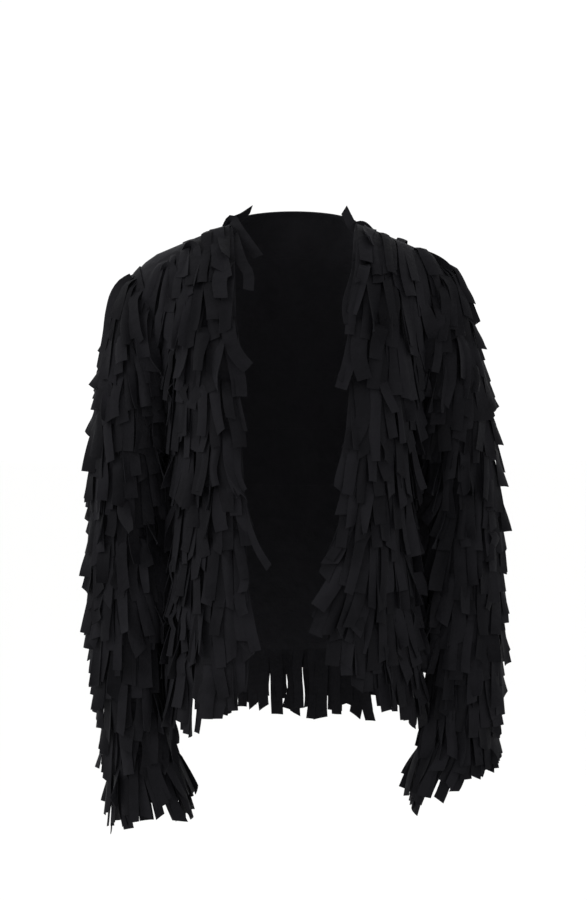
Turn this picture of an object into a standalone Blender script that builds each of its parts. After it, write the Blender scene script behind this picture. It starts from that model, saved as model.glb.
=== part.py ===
"""Open fringe jacket, worn and hollow: five cloth panels with tiers of cut strips sewn round them.

The cloth is cut as a back, two fronts and two sleeves. It has no collar and no fastening.
Each tier of fringe is one comb: a narrow tape that lies on its panel, with strips hanging from it.
The jacket keeps the shape that it has on a wearer. The wearer faces -Y, so their right side is at -X.
The origin is the middle of the neck, level with the points where neck and shoulder meet.
Lengths are in metres and angles in degrees.
"""

import math
from collections import namedtuple

import bpy
import numpy as np

# Cloth
WALL = 0.0015
SEAM_GAP = 0.0003
TAPE_CLEARANCE = 0.0007
STRIP_THICKNESS = 0.0011

# Neck, shoulder and armhole
NECK_POINT = (0.080, 0.004, 0.001)
SHOULDER_TIP = (0.174, 0.000, -0.038)
BACK_NECK = (0.058, 0.019)
ARMPIT = (0.1548, -0.185)
ARMHOLE_HALF_DEPTH = 0.057
CHEST_ROUNDNESS = 2.5
SHOULDER_ROUNDNESS = 2.0
SPINE_ROUNDNESS = 1.6

# Columns and rows of the cloth walls
FRONT_COLUMNS = 7
HALF_BACK_COLUMNS = 9
NECK_COLUMNS = 4
ARMHOLE_ROWS = 7
SKIRT_ROWS = 10
SLEEVE_COLUMNS = 14

# Soft drape folds of the lower body
FOLD_DEPTH = 0.004
FRONT_FOLDS = 1.5
HALF_BACK_FOLDS = 1.5

# Tiers of fringe, in rows of the panel that carries them
BODY_TIER_ROWS = (1.0, 3.0, 5.0, 7.0, 9.0, 11.0, 13.0, 15.0, 16.65)
FRONT_STRIP_COLUMNS = ((0, 3, 5), (0, 2, 4))
BODY_TAPE_ROWS = 0.28
SLEEVE_TIERS = 12
SLEEVE_TAPE_ROWS = 0.20
CUFF_TAPE_ROWS = 0.80
SLEEVE_FRINGE_COLUMNS = 5

# Strips: how long they are, how far their tips stand off the cloth, and how much they spread
BODY_STRIP_LENGTH = 0.090
HEM_STRIP_LENGTH = 0.092
SLEEVE_STRIP_LENGTH = 0.080
TIP_STAND_OFF = 0.013
OVER_CUFF_STAND_OFF = 0.022
CUFF_STAND_OFF = 0.008
CUFF_FLARE_TO_BODY = 0.026
TIP_SPREAD = 0.0075
LENGTH_VARIATION = 0.08
SIDE_ROOM = 0.0045
STRIP_STEPS = 3

BodySection = namedtuple("BodySection", "height half_width front_depth back_depth")
BODY_SECTIONS = (
    BodySection(height=-0.185, half_width=0.1548, front_depth=0.116, back_depth=0.104),
    BodySection(height=-0.250, half_width=0.1500, front_depth=0.118, back_depth=0.102),
    BodySection(height=-0.320, half_width=0.1465, front_depth=0.117, back_depth=0.098),
    BodySection(height=-0.400, half_width=0.1465, front_depth=0.115, back_depth=0.099),
    BodySection(height=-0.480, half_width=0.1500, front_depth=0.115, back_depth=0.106),
    BodySection(height=-0.565, half_width=0.1540, front_depth=0.117, back_depth=0.112),
)

# Where the outer and the inner line of a sleeve run, and how deep it is from front to back.
SleeveSection = namedtuple("SleeveSection", "outer_z outer_x inner_x inner_z half_depth centre_y")
RIGHT_SLEEVE = (
    SleeveSection(outer_z=-0.038, outer_x=0.1740, inner_x=0.1552, inner_z=-0.1850, half_depth=0.0570, centre_y=0.000),
    SleeveSection(outer_z=-0.051, outer_x=0.1920, inner_x=0.1590, inner_z=-0.1885, half_depth=0.0580, centre_y=0.001),
    SleeveSection(outer_z=-0.090, outer_x=0.2160, inner_x=0.1620, inner_z=-0.1950, half_depth=0.0580, centre_y=0.003),
    SleeveSection(outer_z=-0.135, outer_x=0.2280, inner_x=0.1635, inner_z=-0.2060, half_depth=0.0570, centre_y=0.005),
    SleeveSection(outer_z=-0.185, outer_x=0.2375, inner_x=0.1645, inner_z=-0.2250, half_depth=0.0550, centre_y=0.006),
    SleeveSection(outer_z=-0.255, outer_x=0.2480, inner_x=0.1655, inner_z=-0.2680, half_depth=0.0525, centre_y=0.008),
    SleeveSection(outer_z=-0.350, outer_x=0.2520, inner_x=0.1660, inner_z=-0.3520, half_depth=0.0495, centre_y=0.008),
    SleeveSection(outer_z=-0.450, outer_x=0.2520, inner_x=0.1670, inner_z=-0.4500, half_depth=0.0465, centre_y=0.006),
    SleeveSection(outer_z=-0.545, outer_x=0.2460, inner_x=0.1680, inner_z=-0.5450, half_depth=0.0430, centre_y=0.004),
    SleeveSection(outer_z=-0.620, outer_x=0.2380, inner_x=0.1630, inner_z=-0.6200, half_depth=0.0400, centre_y=0.003),
    SleeveSection(outer_z=-0.678, outer_x=0.2280, inner_x=0.1560, inner_z=-0.6780, half_depth=0.0380, centre_y=0.002),
)
LEFT_SLEEVE = (
    SleeveSection(outer_z=-0.038, outer_x=0.1740, inner_x=0.1552, inner_z=-0.1850, half_depth=0.0570, centre_y=0.000),
    SleeveSection(outer_z=-0.051, outer_x=0.1920, inner_x=0.1590, inner_z=-0.1885, half_depth=0.0580, centre_y=0.001),
    SleeveSection(outer_z=-0.090, outer_x=0.2130, inner_x=0.1620, inner_z=-0.1950, half_depth=0.0580, centre_y=0.003),
    SleeveSection(outer_z=-0.135, outer_x=0.2240, inner_x=0.1635, inner_z=-0.2060, half_depth=0.0570, centre_y=0.005),
    SleeveSection(outer_z=-0.185, outer_x=0.2350, inner_x=0.1645, inner_z=-0.2250, half_depth=0.0550, centre_y=0.006),
    SleeveSection(outer_z=-0.255, outer_x=0.2465, inner_x=0.1665, inner_z=-0.2680, half_depth=0.0525, centre_y=0.008),
    SleeveSection(outer_z=-0.350, outer_x=0.2570, inner_x=0.1690, inner_z=-0.3520, half_depth=0.0495, centre_y=0.008),
    SleeveSection(outer_z=-0.450, outer_x=0.2600, inner_x=0.1720, inner_z=-0.4500, half_depth=0.0465, centre_y=0.006),
    SleeveSection(outer_z=-0.545, outer_x=0.2600, inner_x=0.1760, inner_z=-0.5450, half_depth=0.0430, centre_y=0.004),
    SleeveSection(outer_z=-0.610, outer_x=0.2550, inner_x=0.1760, inner_z=-0.6100, half_depth=0.0400, centre_y=0.003),
    SleeveSection(outer_z=-0.660, outer_x=0.2470, inner_x=0.1720, inner_z=-0.6600, half_depth=0.0380, centre_y=0.002),
)

# How far the cut edge of each front lies from the middle, and where its hem runs.
FrontEdge = namedtuple("FrontEdge", "height x")
FrontCut = namedtuple("FrontCut", "edge side_hem front_hem")
RIGHT_FRONT = FrontCut(
    edge=(
        FrontEdge(height=-0.185, x=0.0700),
        FrontEdge(height=-0.250, x=0.0660),
        FrontEdge(height=-0.320, x=0.0610),
        FrontEdge(height=-0.400, x=0.0580),
        FrontEdge(height=-0.500, x=0.0570),
        FrontEdge(height=-0.565, x=0.0590),
    ),
    side_hem=-0.550,
    front_hem=-0.490,
)
LEFT_FRONT = FrontCut(
    edge=(
        FrontEdge(height=-0.185, x=0.0700),
        FrontEdge(height=-0.250, x=0.0660),
        FrontEdge(height=-0.320, x=0.0630),
        FrontEdge(height=-0.400, x=0.0560),
        FrontEdge(height=-0.470, x=0.0450),
        FrontEdge(height=-0.565, x=0.0350),
    ),
    side_hem=-0.548,
    front_hem=-0.452,
)
BACK_HEM = -0.560
SIDE_HEM_OF_BACK = -0.548

# Strips of a cuff are short on its outer side and grow longer towards its front and back.
CuffStrips = namedtuple("CuffStrips", "outer_length length")
RIGHT_CUFF = CuffStrips(outer_length=0.048, length=0.090)
LEFT_CUFF = CuffStrips(outer_length=0.038, length=0.078)

# Strips beside a front edge that hang otherwise than their neighbours: how far the tip swings past the edge.
EDGE_SWING = 0.011
Swing = namedtuple("Swing", "panel tier reach")
SWINGS = (
    Swing(panel="right_front", tier=1, reach=0.034),
    Swing(panel="right_front", tier=2, reach=-0.007),
    Swing(panel="right_front", tier=6, reach=0.026),
    Swing(panel="right_front", tier=9, reach=-0.004),
    Swing(panel="left_front", tier=2, reach=0.018),
    Swing(panel="left_front", tier=3, reach=0.022),
    Swing(panel="left_front", tier=7, reach=0.022),
    Swing(panel="left_front", tier=8, reach=0.028),
    Swing(panel="left_front", tier=9, reach=0.004),
)

# One strip of a tier: the column that it hangs from, its length, and how far its tip stands off and swings aside.
Strip = namedtuple("Strip", "column length stand_off swing")

# One cloth panel as built: its outer face on a grid of rows from the top down, and whether it closes on itself.
Panel = namedtuple("Panel", "name points normals closed")


def clear_scene():
    for obj in list(bpy.data.objects):
        bpy.data.objects.remove(obj)


def cloth_material(name, colour, roughness):
    material = bpy.data.materials.new(name)
    material.use_nodes = True
    shader = material.node_tree.nodes["Principled BSDF"]
    shader.inputs["Base Color"].default_value = (*colour, 1.0)
    shader.inputs["Roughness"].default_value = roughness
    shader.inputs["Metallic"].default_value = 0.0
    return material


def smooth_reading(rows, key, position, at):
    """Reads one column of a table as a smooth curve, a cubic between each two rows."""
    rows = sorted(rows, key=lambda row: getattr(row, position))
    xs = np.array([getattr(row, position) for row in rows])
    ys = np.array([getattr(row, key) for row in rows])
    slopes = np.gradient(ys, xs)
    at = np.clip(np.asarray(at, float), xs[0], xs[-1])
    i = np.clip(np.searchsorted(xs, at) - 1, 0, len(xs) - 2)
    span = xs[i + 1] - xs[i]
    t = (at - xs[i]) / span
    blend = t * t * (3 - 2 * t)
    rise = t * (1 - t) ** 2 * span * slopes[i] - t * t * (1 - t) * span * slopes[i + 1]
    return ys[i] * (1 - blend) + ys[i + 1] * blend + rise


def corner_arc(start, end, corner, share, roundness):
    """A quarter of a superellipse from start to end, bulging towards corner."""
    angle = np.asarray(share)[..., None] * math.pi / 2
    towards_end = np.sin(angle) ** (2 / roundness)
    towards_start = np.clip(np.cos(angle), 0, 1) ** (2 / roundness)
    return start + end - corner + (corner - start) * towards_end + (corner - end) * towards_start


def patch(top, bottom, inner, outer):
    """A Coons patch: the surface that four edges span. Rows run from top to bottom, columns from inner to outer."""
    down = np.linspace(0, 1, len(inner))[:, None, None]
    across = np.linspace(0, 1, len(top))[None, :, None]
    between_rows = top[None] * (1 - down) + bottom[None] * down
    between_columns = inner[:, None] * (1 - across) + outer[:, None] * across
    corners = (
        (top[0] * (1 - across) + top[-1] * across) * (1 - down)
        + (bottom[0] * (1 - across) + bottom[-1] * across) * down
    )
    return between_rows + between_columns - corners


def armhole_half(facing):
    """The armhole's edge from the shoulder tip down to the armpit, over the front (facing -1) or the back (+1)."""
    angle = np.linspace(0, math.pi, ARMHOLE_ROWS + 1)
    tip, pit = np.array(SHOULDER_TIP), np.array((ARMPIT[0], 0.0, ARMPIT[1]))
    centre, half = (tip + pit) / 2, (tip - pit) / 2
    depth = np.array((0.0, facing * ARMHOLE_HALF_DEPTH, 0.0))
    ring = centre + np.cos(angle)[:, None] * half + np.sin(angle)[:, None] * depth
    ring[[0, -1], 1] += facing * SEAM_GAP / 2
    return ring


def body_ring(edge_x, height, facing, share, folds):
    """Points of the body at a height, from the front edge or the middle of the back (share 0) to the side seam (1)."""
    key = "front_depth" if facing < 0 else "back_depth"
    side = smooth_reading(BODY_SECTIONS, "half_width", "height", height)
    depth = facing * smooth_reading(BODY_SECTIONS, key, "height", height)
    seam = np.full_like(height, facing * SEAM_GAP / 2)
    start = np.stack([edge_x, depth, height], axis=-1)
    end = np.stack([side, seam, height], axis=-1)
    corner = np.stack([side, depth, height], axis=-1)
    ring = corner_arc(start, end, corner, share, CHEST_ROUNDNESS)
    below_bust = np.clip((ARMPIT[1] - height) / (ARMPIT[1] - BACK_HEM), 0, 1)
    wave = FOLD_DEPTH * below_bust * np.sin(share * math.pi) * np.sin(2 * math.pi * folds * share)
    ring[..., 1] += facing * wave
    return ring


def half_body(edge_x_at, facing, columns, top, inner, hems, folds):
    """One half of the body on a grid: a patch from the shoulder to the armpit, then rings down to the hem."""
    share = np.linspace(0, 1, columns + 1)
    chest_height = np.full_like(share, ARMPIT[1])
    chest = body_ring(edge_x_at(chest_height), chest_height, facing, share, folds)
    upper = patch(top, chest, inner, armhole_half(facing))
    side_hem, edge_hem = hems
    hem = side_hem + (edge_hem - side_hem) * (1 - share) ** 2
    down = np.linspace(0, 1, SKIRT_ROWS + 1)[1:, None]
    height = ARMPIT[1] + (hem - ARMPIT[1]) * down
    lower = body_ring(edge_x_at(height), height, facing, share + 0 * height, folds)
    return np.concatenate([upper, lower])


def front_half(cut):
    def edge_x_at(height):
        return smooth_reading(cut.edge, "x", "height", height)

    neck, tip = np.array(NECK_POINT), np.array(SHOULDER_TIP)
    neck = neck + (0, -NECK_POINT[1] - SEAM_GAP / 2, 0)
    tip = tip + (0, -SEAM_GAP / 2, 0)
    seam = neck + np.linspace(0, 1, FRONT_COLUMNS + 1)[:, None] * (tip - neck)
    chest_depth = BODY_SECTIONS[0].front_depth
    chest = np.array((float(edge_x_at(ARMPIT[1])), -chest_depth, ARMPIT[1]))
    corner = np.array((float(edge_x_at(ARMPIT[1])), -chest_depth, NECK_POINT[2]))
    down = np.linspace(0, 1, ARMHOLE_ROWS + 1)
    neckline = corner_arc(neck, chest, corner, down, SHOULDER_ROUNDNESS)
    return half_body(edge_x_at, -1, FRONT_COLUMNS, seam, neckline, (cut.side_hem, cut.front_hem), FRONT_FOLDS)


def back_half():
    def edge_x_at(height):
        return np.zeros_like(height)

    neck, tip = np.array(NECK_POINT), np.array(SHOULDER_TIP)
    neck = neck + (0, -NECK_POINT[1] + SEAM_GAP / 2, 0)
    tip = tip + (0, SEAM_GAP / 2, 0)
    middle = np.array((0.0, *BACK_NECK))
    neck_corner = np.array((NECK_POINT[0], *BACK_NECK))
    hollow = corner_arc(middle, neck, neck_corner, np.linspace(0, 1, NECK_COLUMNS + 1), SHOULDER_ROUNDNESS)
    seam = neck + np.linspace(0, 1, HALF_BACK_COLUMNS - NECK_COLUMNS + 1)[1:, None] * (tip - neck)
    top = np.concatenate([hollow, seam])
    chest_depth = BODY_SECTIONS[0].back_depth
    chest = np.array((0.0, chest_depth, ARMPIT[1]))
    corner = np.array((0.0, chest_depth, BACK_NECK[1]))
    spine = corner_arc(middle, chest, corner, np.linspace(0, 1, ARMHOLE_ROWS + 1), SPINE_ROUNDNESS)
    return half_body(edge_x_at, 1, HALF_BACK_COLUMNS, top, spine, (SIDE_HEM_OF_BACK, BACK_HEM), HALF_BACK_FOLDS)


def sleeve_rings(sections, side):
    """The sleeve's rings: ellipses whose long lines run along its outer and inner line, from armhole to cuff."""
    first, last = sections[0].outer_z, sections[-1].outer_z
    start = sections[1].outer_z
    cuff_root = last + 0.014
    outer_z = np.concatenate([[first], np.linspace(start, cuff_root, SLEEVE_TIERS), [last]])
    read = {
        key: smooth_reading(sections, key, "outer_z", outer_z)
        for key in ("outer_x", "inner_x", "inner_z", "half_depth", "centre_y")
    }
    outer = np.stack([read["outer_x"], read["centre_y"], outer_z], axis=-1)
    inner = np.stack([read["inner_x"], read["centre_y"], read["inner_z"]], axis=-1)
    outer[0, 0] += SEAM_GAP
    inner[0, 0] += SEAM_GAP
    angle = np.linspace(0, 2 * math.pi, SLEEVE_COLUMNS, endpoint=False)[None, :, None]
    depth = read["half_depth"][:, None, None] * np.array((0.0, -1.0, 0.0))
    centre, half = (outer + inner)[:, None] / 2, (outer - inner)[:, None] / 2
    rings = centre + np.cos(angle) * half + np.sin(angle) * depth
    return rings * (side, 1, 1)


def unit(vectors):
    return vectors / np.linalg.norm(vectors, axis=-1, keepdims=True)


def grid_normals(points, closed=False):
    """Unit normals of a grid, turned so that they point away from the wearer."""
    if closed:
        around = np.roll(points, -1, axis=1) - np.roll(points, 1, axis=1)
        outward = points - points.mean(axis=1, keepdims=True)
    else:
        around = np.gradient(points, axis=1)
        outward = points * (1, 1, 0)
    normals = unit(np.cross(around, np.gradient(points, axis=0)))
    return normals * math.copysign(1, (normals * outward).sum())


def armhole_axis():
    """The way that the sleeve leaves the armhole, square to the armhole's plane."""
    rise = np.array(SHOULDER_TIP) - (ARMPIT[0], 0, ARMPIT[1])
    return unit(np.array((rise[2], 0, -rise[0])))


def half_normals(points, seam_from_column):
    """Normals of one half of the body. At a seam they lie in the seam's plane, so that two cut edges meet flat."""
    normals = grid_normals(points)
    seam = np.array(SHOULDER_TIP) - NECK_POINT
    normals[0, seam_from_column:] = unit(np.array((-seam[2], 0, seam[0])))
    normals[ARMHOLE_ROWS:, -1] = unit(normals[ARMHOLE_ROWS:, -1] * (1, 0, 0))
    axis = armhole_axis()
    round_arm = normals[1:ARMHOLE_ROWS, -1]
    towards_body = np.minimum(round_arm @ axis, 0)
    normals[1:ARMHOLE_ROWS, -1] = unit(round_arm - towards_body[:, None] * axis)
    return normals


def sleeve_normals(points, side):
    """Normals of a sleeve, whose first ring lies against the armhole and so keeps its normals in the armhole's plane."""
    normals = grid_normals(points, closed=True)
    axis = armhole_axis() * (side, 1, 1)
    normals[0] = unit(normals[0] - (normals[0] @ axis)[:, None] * axis)
    return normals


def add_object(name, points, faces, material, collection):
    mesh = bpy.data.meshes.new(name)
    mesh.from_pydata([tuple(p) for p in points], [], faces)
    mesh.materials.append(material)
    obj = bpy.data.objects.new(name, mesh)
    collection.objects.link(obj)
    return obj


def faces_turned_outwards(points, faces, normals):
    """Turns all faces round if the first of them faces inwards."""
    a, b, c = (points[i] for i in faces[0][:3])
    inward = np.dot(np.cross(b - a, c - b), normals[faces[0][0]]) < 0
    return [face[::-1] for face in faces] if inward else faces


def add_wall(panel, material, collection):
    """The panel's cloth: its outer face, the same grid one wall further in, and the cut edges between them."""
    rows, columns = panel.points.shape[:2]
    points, normals = panel.points.reshape(-1, 3), panel.normals.reshape(-1, 3)
    outer = np.arange(rows * columns).reshape(rows, columns)
    if panel.closed:
        outer = np.concatenate([outer, outer[:, :1]], axis=1)
    inner = outer + rows * columns

    # Each cell is split along the diagonal that lies further in, so that what lies on the panel stays clear of it.
    a, b, c, d = (cell.ravel() for cell in (outer[:-1, :-1], outer[:-1, 1:], outer[1:, 1:], outer[1:, :-1]))
    bulge = ((points[a] + points[c] - points[b] - points[d]) * normals[a]).sum(axis=1)
    split_ac = bulge[:, None] < 0
    first = np.where(split_ac, np.stack([a, b, c], axis=1), np.stack([a, b, d], axis=1))
    second = np.where(split_ac, np.stack([a, c, d], axis=1), np.stack([b, c, d], axis=1))
    cloth = np.concatenate([first, second])
    faces = cloth.tolist() + (cloth[:, ::-1] + rows * columns).tolist()

    def add_cut_edge(p, q):
        faces.extend(zip(p[:-1].tolist(), p[1:].tolist(), q[1:].tolist(), q[:-1].tolist()))

    add_cut_edge(inner[0], outer[0])
    add_cut_edge(outer[-1], inner[-1])
    if not panel.closed:
        add_cut_edge(outer[:, 0], inner[:, 0])
        add_cut_edge(inner[:, -1], outer[:, -1])
    points = np.concatenate([points, points - normals * WALL])
    faces = faces_turned_outwards(points, faces, normals)
    return add_object(panel.name, points, faces, material, collection)


def down_the_column(panel, row, column, lengths):
    """Points and normals at these lengths below a row, along a column and then straight down past its end."""
    columns = panel.points.shape[1]
    points, normals = panel.points[:, column % columns], panel.normals[:, column % columns]
    whole, part = int(row), row - int(row)
    upper, lower = min(whole, len(points) - 1), min(whole + 1, len(points) - 1)
    first = points[upper] * (1 - part) + points[lower] * part
    first_normal = normals[upper] * (1 - part) + normals[lower] * part
    level = normals[-1] * (1, 1, 0)
    below = points[-1] - (0, 0, 1.0)
    line = np.vstack([first, points[whole + 1 :], below])
    normal_line = np.vstack([first_normal, normals[whole + 1 :], level])
    along = np.concatenate([[0], np.cumsum(np.linalg.norm(np.diff(line, axis=0), axis=1))])
    here = np.stack([np.interp(lengths, along, line[:, k]) for k in range(3)], axis=-1)
    # Past the panel's end the normal stays level, so it is read from the row and not from far below.
    along[-1] = along[-2] + 0.01
    facing = np.stack([np.interp(lengths, along, normal_line[:, k]) for k in range(3)], axis=-1)
    return here, unit(facing)


def strip_edges(panel, row, strip, limit_x):
    """The two long edges of one strip, from just below its root to its tip: it leans out, spreads and swings."""
    share = np.linspace(0, 1, STRIP_STEPS + 1)[1:]
    edges = []
    for step in (0, 1):
        here, facing = down_the_column(panel, row, strip.column + step, strip.length * share)
        edges.append(here + facing * (TAPE_CLEARANCE + strip.stand_off * share**0.8)[:, None])
    across = unit(edges[1] - edges[0])
    edges[0] -= across * (TIP_SPREAD * share + strip.swing * share**1.5)[:, None]
    edges[1] += across * (TIP_SPREAD * share - strip.swing * share**1.5)[:, None]
    for edge in edges:
        room = limit_x(edge)
        edge[:, 0] = np.clip(edge[:, 0], -room, room)
    return edges


def add_tier(panel, number, row, tape_rows, columns, strips, limit_x, material, collection):
    """One tier: a tape along the panel's columns, and strips whose roots share the tape's lower corners."""
    whole_ring = panel.closed and columns[1] - columns[0] == panel.points.shape[1]
    tape_columns = list(range(columns[0], columns[1] + (0 if whole_ring else 1)))
    spans = tape_columns if whole_ring else tape_columns[:-1]
    following = {c: tape_columns[(k + 1) % len(tape_columns)] for k, c in enumerate(tape_columns)}
    index = {}
    points, normals = [], []
    for level in (0, 1):
        for column in tape_columns:
            here, facing = down_the_column(panel, row + tape_rows * level, column, np.zeros(1))
            index[level, column] = len(points)
            points.append(here[0] + facing[0] * TAPE_CLEARANCE)
            normals.append(facing[0])
    faces = [(index[0, c], index[0, following[c]], index[1, following[c]], index[1, c]) for c in spans]
    for strip in strips:
        upper = (index[1, strip.column], index[1, following[strip.column]])
        for left, right in zip(*strip_edges(panel, row + tape_rows, strip, limit_x)):
            lower = (len(points), len(points) + 1)
            points.extend([left, right])
            normals.extend([normals[upper[0]], normals[upper[1]]])
            faces.append((upper[0], upper[1], lower[1], lower[0]))
            upper = lower
    points = np.array(points)
    faces = faces_turned_outwards(points, faces, normals)
    tier = add_object(f"{panel.name}_fringe_{number:02d}", points, faces, material, collection)
    solidify = tier.modifiers.new("Thickness", "SOLIDIFY")
    solidify.thickness = STRIP_THICKNESS
    solidify.offset = 1
    return tier


def varied(length, tier, column):
    return length * (1 + LENGTH_VARIATION * math.sin(2.4 * tier + 1.7 * column))


def body_strips(name, tier, columns):
    """Strips of one tier of the body. Beside a front edge they swing past it, and a few swing further."""
    length = HEM_STRIP_LENGTH if tier == len(BODY_TIER_ROWS) else BODY_STRIP_LENGTH
    reaches = {(s.panel, s.tier): s.reach for s in SWINGS}
    strips = []
    for column in columns:
        beside_edge = column == 0 and name != "back"
        swing = reaches.get((name, tier), EDGE_SWING) if beside_edge else 0.0
        strips.append(Strip(column, varied(length, tier, column), TIP_STAND_OFF, swing))
    return strips


def sleeve_strips(tier, columns):
    """Strips of one tier of a sleeve. Those just above the cuff stand off further, over the cuff's own."""
    stand_off = OVER_CUFF_STAND_OFF if tier == SLEEVE_TIERS - 1 else TIP_STAND_OFF
    return [Strip(c, varied(SLEEVE_STRIP_LENGTH, tier, c), stand_off, 0.0) for c in columns]


def cuff_strips(cuff, columns):
    """Strips round a cuff: short on its outer side, and flaring more on the side that faces the body."""
    strips = []
    for column in columns:
        towards_body = 1 - math.cos(2 * math.pi * (column + 0.5) / SLEEVE_COLUMNS)
        length = cuff.outer_length + (cuff.length - cuff.outer_length) * min(1, towards_body)
        stand_off = CUFF_STAND_OFF + CUFF_FLARE_TO_BODY * towards_body / 2
        strips.append(Strip(column, varied(length, SLEEVE_TIERS, column), stand_off, 0.0))
    return strips


def beside_sleeve(sections):
    """The furthest out that a body strip may reach at a point, so that it stays clear of the sleeve beside it."""

    def limit(points):
        height = np.clip(points[:, 2], sections[-1].outer_z, ARMPIT[1])
        inner = smooth_reading(sections, "inner_x", "outer_z", height)
        near_arm = np.abs(points[:, 1]) < 0.062
        return np.where(near_arm, inner - SIDE_ROOM, 1.0)

    return limit


def anywhere(points):
    return np.ones(len(points))


def add_front(name, cut, sections, side, materials, collection):
    half = front_half(cut)
    panel = Panel(name, half * (side, 1, 1), half_normals(half, 0) * (side, 1, 1), closed=False)
    add_wall(panel, materials["cloth"], collection)
    limit_x = beside_sleeve(sections)
    for tier, row in enumerate(BODY_TIER_ROWS, start=1):
        tape = (0, FRONT_COLUMNS if row > ARMHOLE_ROWS else FRONT_COLUMNS - 1)
        strips = body_strips(name, tier, FRONT_STRIP_COLUMNS[tier % 2])
        add_tier(panel, tier, row, BODY_TAPE_ROWS, tape, strips, limit_x, materials["fringe"], collection)


def add_back(materials, collection):
    half = back_half()
    normals = half_normals(half, NECK_COLUMNS)
    normals[:, 0] = unit(normals[:, 0] * (0, 1, 1))

    def whole(grid):
        return np.concatenate([grid[:, :0:-1] * (-1, 1, 1), grid], axis=1)

    panel = Panel("back", whole(half), whole(normals), closed=False)
    add_wall(panel, materials["cloth"], collection)
    columns = 2 * HALF_BACK_COLUMNS
    left_limit, right_limit = beside_sleeve(LEFT_SLEEVE), beside_sleeve(RIGHT_SLEEVE)

    def limit_x(points):
        return np.minimum(left_limit(points), right_limit(points))

    for tier, row in enumerate(BODY_TIER_ROWS, start=1):
        margin = 0 if row > ARMHOLE_ROWS else 1
        tape = (margin, columns - margin)
        strips = body_strips("back", tier, range(2 + tier % 2, columns - 2, 2))
        add_tier(panel, tier, row, BODY_TAPE_ROWS, tape, strips, limit_x, materials["fringe"], collection)


def add_sleeve(name, sections, cuff, side, materials, collection):
    rings = sleeve_rings(sections, side)
    panel = Panel(name, rings, sleeve_normals(rings, side), closed=True)
    add_wall(panel, materials["cloth"], collection)
    for tier in range(1, SLEEVE_TIERS):
        tape = (-SLEEVE_FRINGE_COLUMNS, SLEEVE_FRINGE_COLUMNS)
        strips = sleeve_strips(tier, range(tape[0] + tier % 2, tape[1], 2))
        add_tier(panel, tier, tier, SLEEVE_TAPE_ROWS, tape, strips, anywhere, materials["fringe"], collection)
    tape = (0, SLEEVE_COLUMNS)
    strips = cuff_strips(cuff, range(0, SLEEVE_COLUMNS, 2))
    add_tier(
        panel, SLEEVE_TIERS, SLEEVE_TIERS, CUFF_TAPE_ROWS, tape, strips, anywhere, materials["fringe"], collection
    )


def main():
    clear_scene()
    jacket = bpy.data.collections.new("fringe_jacket")
    bpy.context.scene.collection.children.link(jacket)
    materials = {
        "cloth": cloth_material("black_knit", (0.016, 0.016, 0.019), 0.78),
        "fringe": cloth_material("black_fringe", (0.012, 0.012, 0.014), 0.70),
    }
    add_back(materials, jacket)
    add_front("right_front", RIGHT_FRONT, RIGHT_SLEEVE, -1, materials, jacket)
    add_front("left_front", LEFT_FRONT, LEFT_SLEEVE, 1, materials, jacket)
    add_sleeve("right_sleeve", RIGHT_SLEEVE, RIGHT_CUFF, -1, materials, jacket)
    add_sleeve("left_sleeve", LEFT_SLEEVE, LEFT_CUFF, 1, materials, jacket)


main()
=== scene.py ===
"""Looks of the open fringe jacket: five black knit panels with tiers of cut strips, in a pale studio.

The wearer faces -Y, so their right side is at -X. Lengths are in metres and angles in degrees.
Rows are counted down a panel and columns across it, as in the part, and both may be fractions.
"""

import math
from collections import namedtuple

import bpy
import numpy as np
from mathutils import Matrix


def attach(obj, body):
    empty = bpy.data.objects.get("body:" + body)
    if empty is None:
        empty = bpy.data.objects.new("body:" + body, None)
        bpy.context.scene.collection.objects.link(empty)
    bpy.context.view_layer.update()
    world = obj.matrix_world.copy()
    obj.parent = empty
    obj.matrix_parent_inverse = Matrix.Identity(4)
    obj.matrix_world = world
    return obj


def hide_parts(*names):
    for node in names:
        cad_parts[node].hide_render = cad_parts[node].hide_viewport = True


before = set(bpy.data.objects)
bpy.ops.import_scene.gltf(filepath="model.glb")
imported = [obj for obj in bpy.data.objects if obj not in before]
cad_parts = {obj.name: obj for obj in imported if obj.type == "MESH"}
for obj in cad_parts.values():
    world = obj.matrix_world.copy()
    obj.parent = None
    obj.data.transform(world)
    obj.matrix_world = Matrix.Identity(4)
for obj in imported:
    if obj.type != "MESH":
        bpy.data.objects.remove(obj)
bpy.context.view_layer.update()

# The back
# One piece of black jersey from shoulder to hem, as thick here as in the part.
# It is cut to the neck hollow, joined to the fronts at the shoulder and side seams, and left unlined.
CLOTH = 0.0015
SMOOTH_ANGLE = 50
SEAM_GAP = 0.00004
FINER = 5
NECK_POINT = (0.080, 0.004, 0.001)
SHOULDER_TIP = (0.174, 0.000, -0.038)
BACK_NECK = (0.058, 0.019)
ARMPIT = (0.1548, -0.185)
ARMHOLE_HALF_DEPTH = 0.057
CHEST_ROUNDNESS = 2.5
SHOULDER_ROUNDNESS = 2.0
SPINE_ROUNDNESS = 1.6
HALF_BACK_COLUMNS = 9
NECK_COLUMNS = 4
ARMHOLE_ROWS = 7
SKIRT_ROWS = 10
FOLD_DEPTH = 0.004
BODY_FOLDS = 1.5
BACK_HEM = -0.560
SIDE_HEM_OF_BACK = -0.548


def rows_of(kind, *rows):
    """A short table: its rows as named tuples of one kind."""
    return tuple(kind(*row) for row in rows)


BodySection = namedtuple("BodySection", "height half_width front_depth back_depth")
BODY_SECTIONS = rows_of(
    BodySection,
    (-0.185, 0.1548, 0.116, 0.104),
    (-0.250, 0.1500, 0.118, 0.102),
    (-0.320, 0.1465, 0.117, 0.098),
    (-0.400, 0.1465, 0.115, 0.099),
    (-0.480, 0.1500, 0.115, 0.106),
    (-0.565, 0.1540, 0.117, 0.112),
)

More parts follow.
